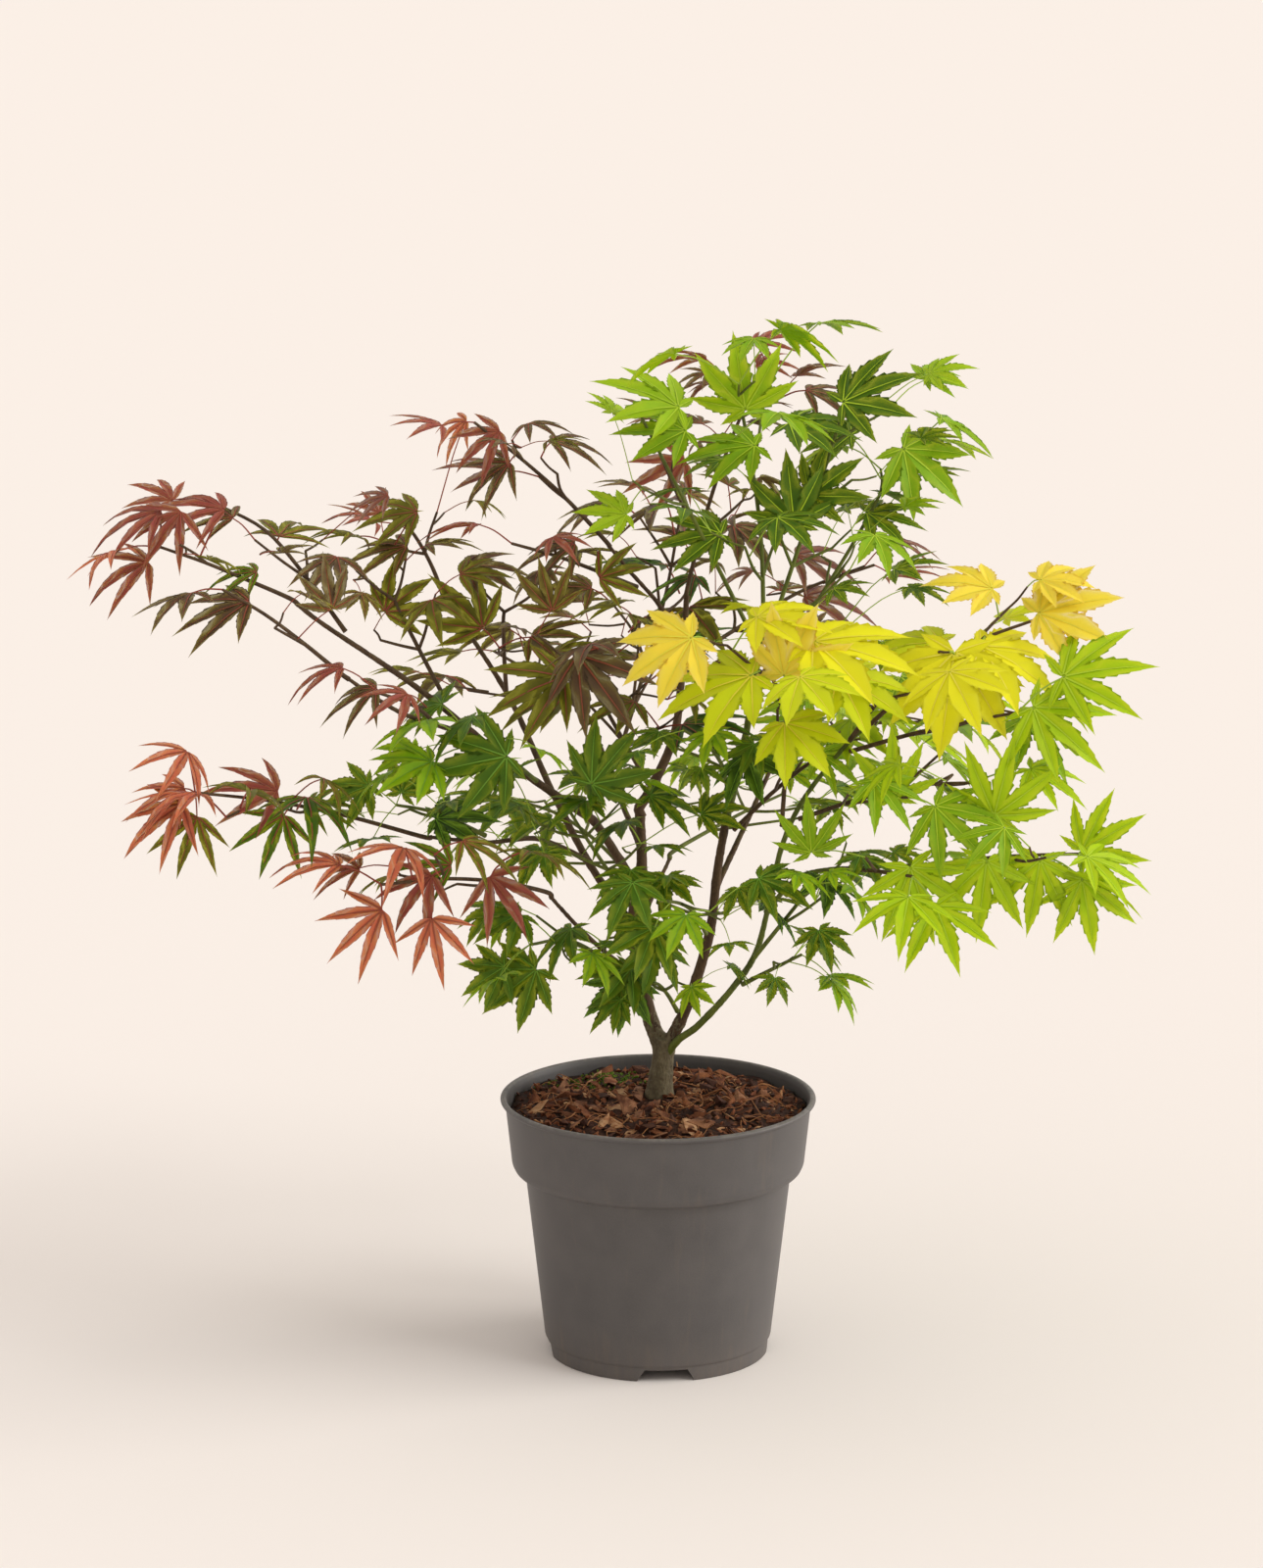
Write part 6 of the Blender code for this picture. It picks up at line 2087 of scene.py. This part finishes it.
    def grow_pair(
        self, spray: Spray, twig: Twig, share: float, turn: float, age: float, rng: random.Random
    ) -> list[Leaf]:
        """The opposite pair of leaves at one node of a twig."""
        tangent = place_on(list(twig.points), share)[1]
        side = Matrix.Rotation(math.radians(turn), 3, tangent) @ level_side(tangent)
        leaves = []
        for hand in (-1, 1):
            spread = self.fork_angle * rng.uniform(*self.spreads)
            out = tangent * math.cos(spread) + side * hand * math.sin(spread)
            leaves.append(self.grow_leaf(spray, twig, share, out, age, rng))
        return leaves

    def grow(self, spray: Spray, stem: tuple[Vector, ...]) -> tuple[list[Twig], list[Leaf]]:
        """Side shoots in opposite pairs along a stem, and a pair of leaves at every node."""
        rng, fine = random.Random(spray.seed), random.Random(1000 + spray.seed)
        nodes = max(2, round(length_of(list(stem)) / self.internode))
        twigs = [Twig(stem, *self.stem_radii)]
        leaves: list[Leaf] = []
        upright = (stem[-1] - stem[0]).normalized().z > self.upright
        longest, loss = self.shoot_fading
        for node in range(1, nodes):
            share = node / nodes
            root, tangent = place_on(list(stem), share)
            turn = 90.0 * node * upright + rng.uniform(*self.stem_twists)
            side = Matrix.Rotation(math.radians(turn), 3, tangent) @ level_side(tangent)
            for hand in (-1, 1):
                reach = spray.shoot * rng.uniform(*self.shoot_reaches) * (longest - loss * share)
                out = tangent * math.cos(self.fork_angle) + side * hand * math.sin(self.fork_angle)
                tip = root + out * reach + UP * reach * rng.uniform(*self.shoot_rises)
                shoot = Twig((root, tip), *self.shoot_radii, twigs[0], share)
                twigs.append(shoot)
                for place, age in self.shoot_pairs:
                    twist = rng.uniform(*self.leaf_twists)
                    leaves += self.grow_pair(spray, shoot, place, twist, age, rng)
                self.grow_fine(spray, shoot, twigs, leaves, fine)
        for share, age in ((1.0 - 0.5 / nodes, 0.3), (1.0, 0.9)):
            leaves += self.grow_pair(spray, twigs[0], share, rng.uniform(*self.tip_twists), age, rng)
        tangent = place_on(list(stem), 1.0)[1]
        leaves.append(self.grow_leaf(spray, twigs[0], 1.0, tangent + level_side(tangent) * 0.5, 0.5, rng))
        leaves.sort(key=lambda leaf: -(leaf.joint - stem[0]).length)
        return twigs, leaves

    def grow_fine(
        self, spray: Spray, shoot: Twig, twigs: list[Twig], leaves: list[Leaf], rng: random.Random
    ) -> None:
        """A fine twig on a shoot, with a pair of smaller leaves at its tip."""
        share = rng.uniform(*self.fine_places)
        start, tangent = place_on(list(shoot.points), share)
        turn = rng.uniform(-self.fine_turn, self.fine_turn)
        side = Matrix.Rotation(turn, 3, tangent) @ level_side(tangent)
        length = (shoot.points[-1] - shoot.points[0]).length
        reach = length * self.fine_reach * rng.uniform(*self.fine_reaches)
        hand = rng.choice((-1, 1))
        out = tangent * math.cos(self.fork_angle) + side * hand * math.sin(self.fork_angle)
        twig = Twig((start, start + out * reach), *self.fine_radii, shoot, share)
        pair = self.grow_pair(spray, twig, 1.0, rng.uniform(*self.fine_twists), self.fine_age, rng)
        for leaf in pair:
            leaf.length *= self.fine_leaf
        twigs.append(twig)
        leaves += pair

    def turned_to_light(self, leaf: Leaf, share: float) -> None:
        """Turns a blade to the light: to the front, or outwards at the back of the crown."""
        centre = self.wood.lines["trunk"][-1]
        out = Vector((leaf.joint.x - centre.x, leaf.joint.y - centre.y, 0.0)).normalized()
        back, depth = self.light_depths
        front = max(0.0, min(1.0, (back - leaf.joint.y) / depth))
        off, ahead, rise = self.light_lean
        light = (out * (1.0 - off * front) + Vector((0.0, -ahead, 0.0)) * front + UP * rise).normalized()
        normal = leaf.normal.lerp(light, share).normalized()
        fall = leaf.axis - UP * share * self.light_fall
        leaf.axis = (fall - normal * fall.dot(normal)).normalized()
        leaf.normal = normal

    def crowded(self, leaf: Leaf, others: list[Leaf], spread: float) -> bool:
        """Whether a blade would lie in one layer with another, and too near it."""
        middle = leaf.joint + leaf.axis * leaf.length * self.middle
        for other in others:
            between = other.joint + other.axis * other.length * self.middle - middle
            both = leaf.length + other.length
            seen = Vector((between.x, between.y * self.depth_share, between.z))
            if seen.length > self.spacing * spread * both:
                continue
            if abs(between.dot((leaf.normal + other.normal).normalized())) < self.layer * both:
                return True
        return False

    def outside(self, leaf: Leaf, low: Vector, high: Vector) -> bool:
        """Whether a blade's tip leaves the space of its mass."""
        tip = leaf.joint + leaf.axis * leaf.length * self.reach
        return any(tip[k] < low[k] - self.margin[k] or tip[k] > high[k] + self.margin[k] for k in range(3))

    def grow_all(self, sprays: tuple[Spray, ...]) -> None:
        """Grows every mass, and leaves out the leaves that crowd or leave its space."""
        placed: list[Leaf] = []
        grown = {spray.name: self.grow(spray, self.stem_knots(self.stem_line(spray))) for spray in sprays}
        habits = {spray.name: spray.habit for spray in sprays}
        for leader in LEADERS:
            leaf = self.lead(leader, grown[leader.spray][0])
            placed.append(leaf)
            self.leaves[habits[leader.spray]].append(leaf)
        for spray in sprays:
            low, high = (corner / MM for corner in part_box(spray.name))
            twigs, leaves = grown[spray.name]
            knots = twigs[0].points
            foliage = spray.habit.value
            rng = random.Random(spray.seed * 7)
            farthest = max((leaf.joint - knots[0]).length for leaf in leaves)
            for leaf in leaves:
                self.turned_to_light(leaf, foliage.facing * rng.uniform(*self.facings))
                if self.outside(leaf, low, high) or self.crowded(leaf, placed, foliage.spread):
                    continue
                outer = ((leaf.joint - knots[0]).length / farthest) ** self.ripening
                ripe = outer * self.ripe + rng.uniform(*self.ripe_chance)
                leaf.tint = max(0, min(TINTS - 1, int(TINTS * ripe)))
                placed.append(leaf)
                leaf.twig.keep(leaf.share)
                self.leaves[spray.habit].append(leaf)
            back = (knots[0] - knots[1]).normalized() * self.sunk
            twigs[0].points = tuple(smooth((knots[0] + back, *knots[1:]), 5))
            shown = [self.bowed(self.shortened(twig), rng) for twig in twigs[1:] if twig.kept]
            self.twigs[foliage.bark] += [self.shortened(twigs[0]), *shown]
        LOG.info("%d leaves", len(placed))

    def lead(self, leader: Leader, twigs: list[Twig]) -> Leaf:
        """A leaf that stands out, rooted where its stalk is shortest."""
        joint = self.studio.point_seen(leader.sight, leader.depth)
        places = [(twig, step / 12) for twig in twigs for step in range(3, 13)]
        spots = [place_on(list(twig.points), share)[0] for twig, share in places]
        nearest = min(range(len(spots)), key=lambda number: (spots[number] - joint).length)
        twig, share = places[nearest]
        twig.keep(share)
        axis = Vector(leader.axis).normalized()
        turn = math.radians(leader.turn)
        face = Vector((0.0, -math.sin(turn), math.cos(turn)))
        normal = (face - axis * face.dot(axis)).normalized()
        return Leaf(spots[nearest], joint, axis, normal, leader.length, twig, share, leader.tint)

    @staticmethod
    def shortened(twig: Twig) -> Twig:
        """A twig as far as the last leaf that it keeps."""
        line, reach = list(twig.points), length_of(list(twig.points)) * twig.kept
        points = [line[0]]
        for start, end in zip(line, line[1:]):
            span = (end - start).length
            points.append(start.lerp(end, min(1.0, reach / span)))
            reach -= span
            if reach <= 0.01:
                break
        tip = twig.foot_radius + (twig.tip_radius - twig.foot_radius) * twig.kept
        return Twig(tuple(points), twig.foot_radius, tip)

    def bowed(self, twig: Twig, rng: random.Random) -> Twig:
        """A straight twig with a slight bow."""
        start, end = twig.points
        span = (end - start).length
        aside, down = self.bow
        bow = Vector([rng.uniform(-aside, aside) for _ in range(3)]) * span - UP * span * down
        line = smooth((start, start.lerp(end, 0.5) + bow, end), 3)
        return Twig(tuple(line), twig.foot_radius, twig.tip_radius)

    def build(self, sprays: tuple[Spray, ...], tubes: NodeTree) -> None:
        """Grows the crown and makes its pieces."""
        self.grow_all(sprays)
        tree = leaf_tree()
        for habit in Habit:
            names = tuple(spray.name for spray in sprays if spray.habit is habit)
            self.build_leaves(habit, names, tree)
        for bark in Bark:
            names = tuple(spray.name for spray in sprays if spray.habit.value.bark is bark)
            self.build_twigs(bark, names, tubes)
        for stalk in (Tint.GREEN_STALK, Tint.RED_STALK):
            self.build_stalks(stalk, sprays, tubes)

    def build_leaves(self, habit: Habit, names: tuple[str, ...], tree: NodeTree) -> None:
        """Joins the blades of one kind of foliage in one piece."""
        foliage, leaves = habit.value, self.leaves[habit]
        rng = random.Random(5)
        forms = bpy.data.collections.new(foliage.slot)
        for number in range(foliage.forms):
            foliage.blade.build(f"{habit.name.lower()}_{number}", number, forms)
        name = f"{habit.name.lower()}_leaf_blades"
        mesh = mesh_of(name, [leaf.joint for leaf in leaves], [])
        turns = []
        for leaf in leaves:
            side = leaf.axis.cross(leaf.normal)
            turns.append(Matrix((side, leaf.axis, leaf.normal)).transposed().to_quaternion())
        store(mesh, "turn", "QUATERNION", turns)
        store(mesh, "size", "FLOAT", [leaf.length * MM for leaf in leaves])
        store(mesh, "form", "INT", [rng.randrange(foliage.forms) for _ in leaves])
        store(mesh, "tint", "INT", [leaf.tint for leaf in leaves])
        values = {f"Tint {number}": tint.build() for number, tint in enumerate(foliage.tints)}
        values |= {"Forms": forms, "Vein": foliage.vein.build()}
        dress(run_tree(add_object(name, mesh), tree, values, name), foliage.slot, names)
        discard(forms)

    def build_twigs(self, bark: Bark, names: tuple[str, ...], tubes: NodeTree) -> None:
        """Joins the twigs of one bark in one piece."""
        made = Tubes(f"{bark.value}_twigs", 7, bark.finish().build(), 0.15, 700.0)
        for twig in self.twigs[bark]:
            made.add(list(twig.points), taper(twig.foot_radius, twig.tip_radius, len(twig.points) - 1))
        dress(made.build(tubes), bark.value, names)

    def build_stalks(self, stalk: Tint, sprays: tuple[Spray, ...], tubes: NodeTree) -> None:
        """Joins the leaf stalks of one colour in one piece."""
        made = Tubes(f"{stalk.name.lower()}s", 5, stalk.build())
        habits = [habit for habit in Habit if habit.value.stalk is stalk]
        for leaf in (leaf for habit in habits for leaf in self.leaves[habit]):
            place, height = self.stalk_arch
            middle = leaf.root.lerp(leaf.joint, place) + UP * (leaf.joint - leaf.root).length * height
            end = leaf.joint + leaf.axis * leaf.length * 0.02
            line = smooth((leaf.root, middle, end), 3)
            thin = min(1.0, leaf.length / self.stalk_whole)
            foot, tip = (radius * thin for radius in self.stalk_radii)
            made.add(line, taper(foot, tip, len(line) - 1))
        names = tuple(spray.name for spray in sprays if spray.habit in habits)
        bark = Bark.GREEN if stalk is Tint.GREEN_STALK else Bark.BROWN
        dress(made.build(tubes), bark.value, names)


def corners() -> list[list[float]]:
    """The lowest and the highest corner of what shows."""
    return [list(corner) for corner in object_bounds()]


def main() -> None:
    """Builds the looks of the potted tree."""
    logging.basicConfig(level=logging.INFO, format="%(name)s: %(message)s")
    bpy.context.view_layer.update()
    studio = Studio()
    studio.build()
    tubes = tube_tree()
    NurseryPot().build()
    Compost().build(tubes)
    wood = Wood()
    wood.build(LIMBS, tubes)
    Crown(wood, studio).build(SPRAYS, tubes)


if __name__ == "__main__":
    main()
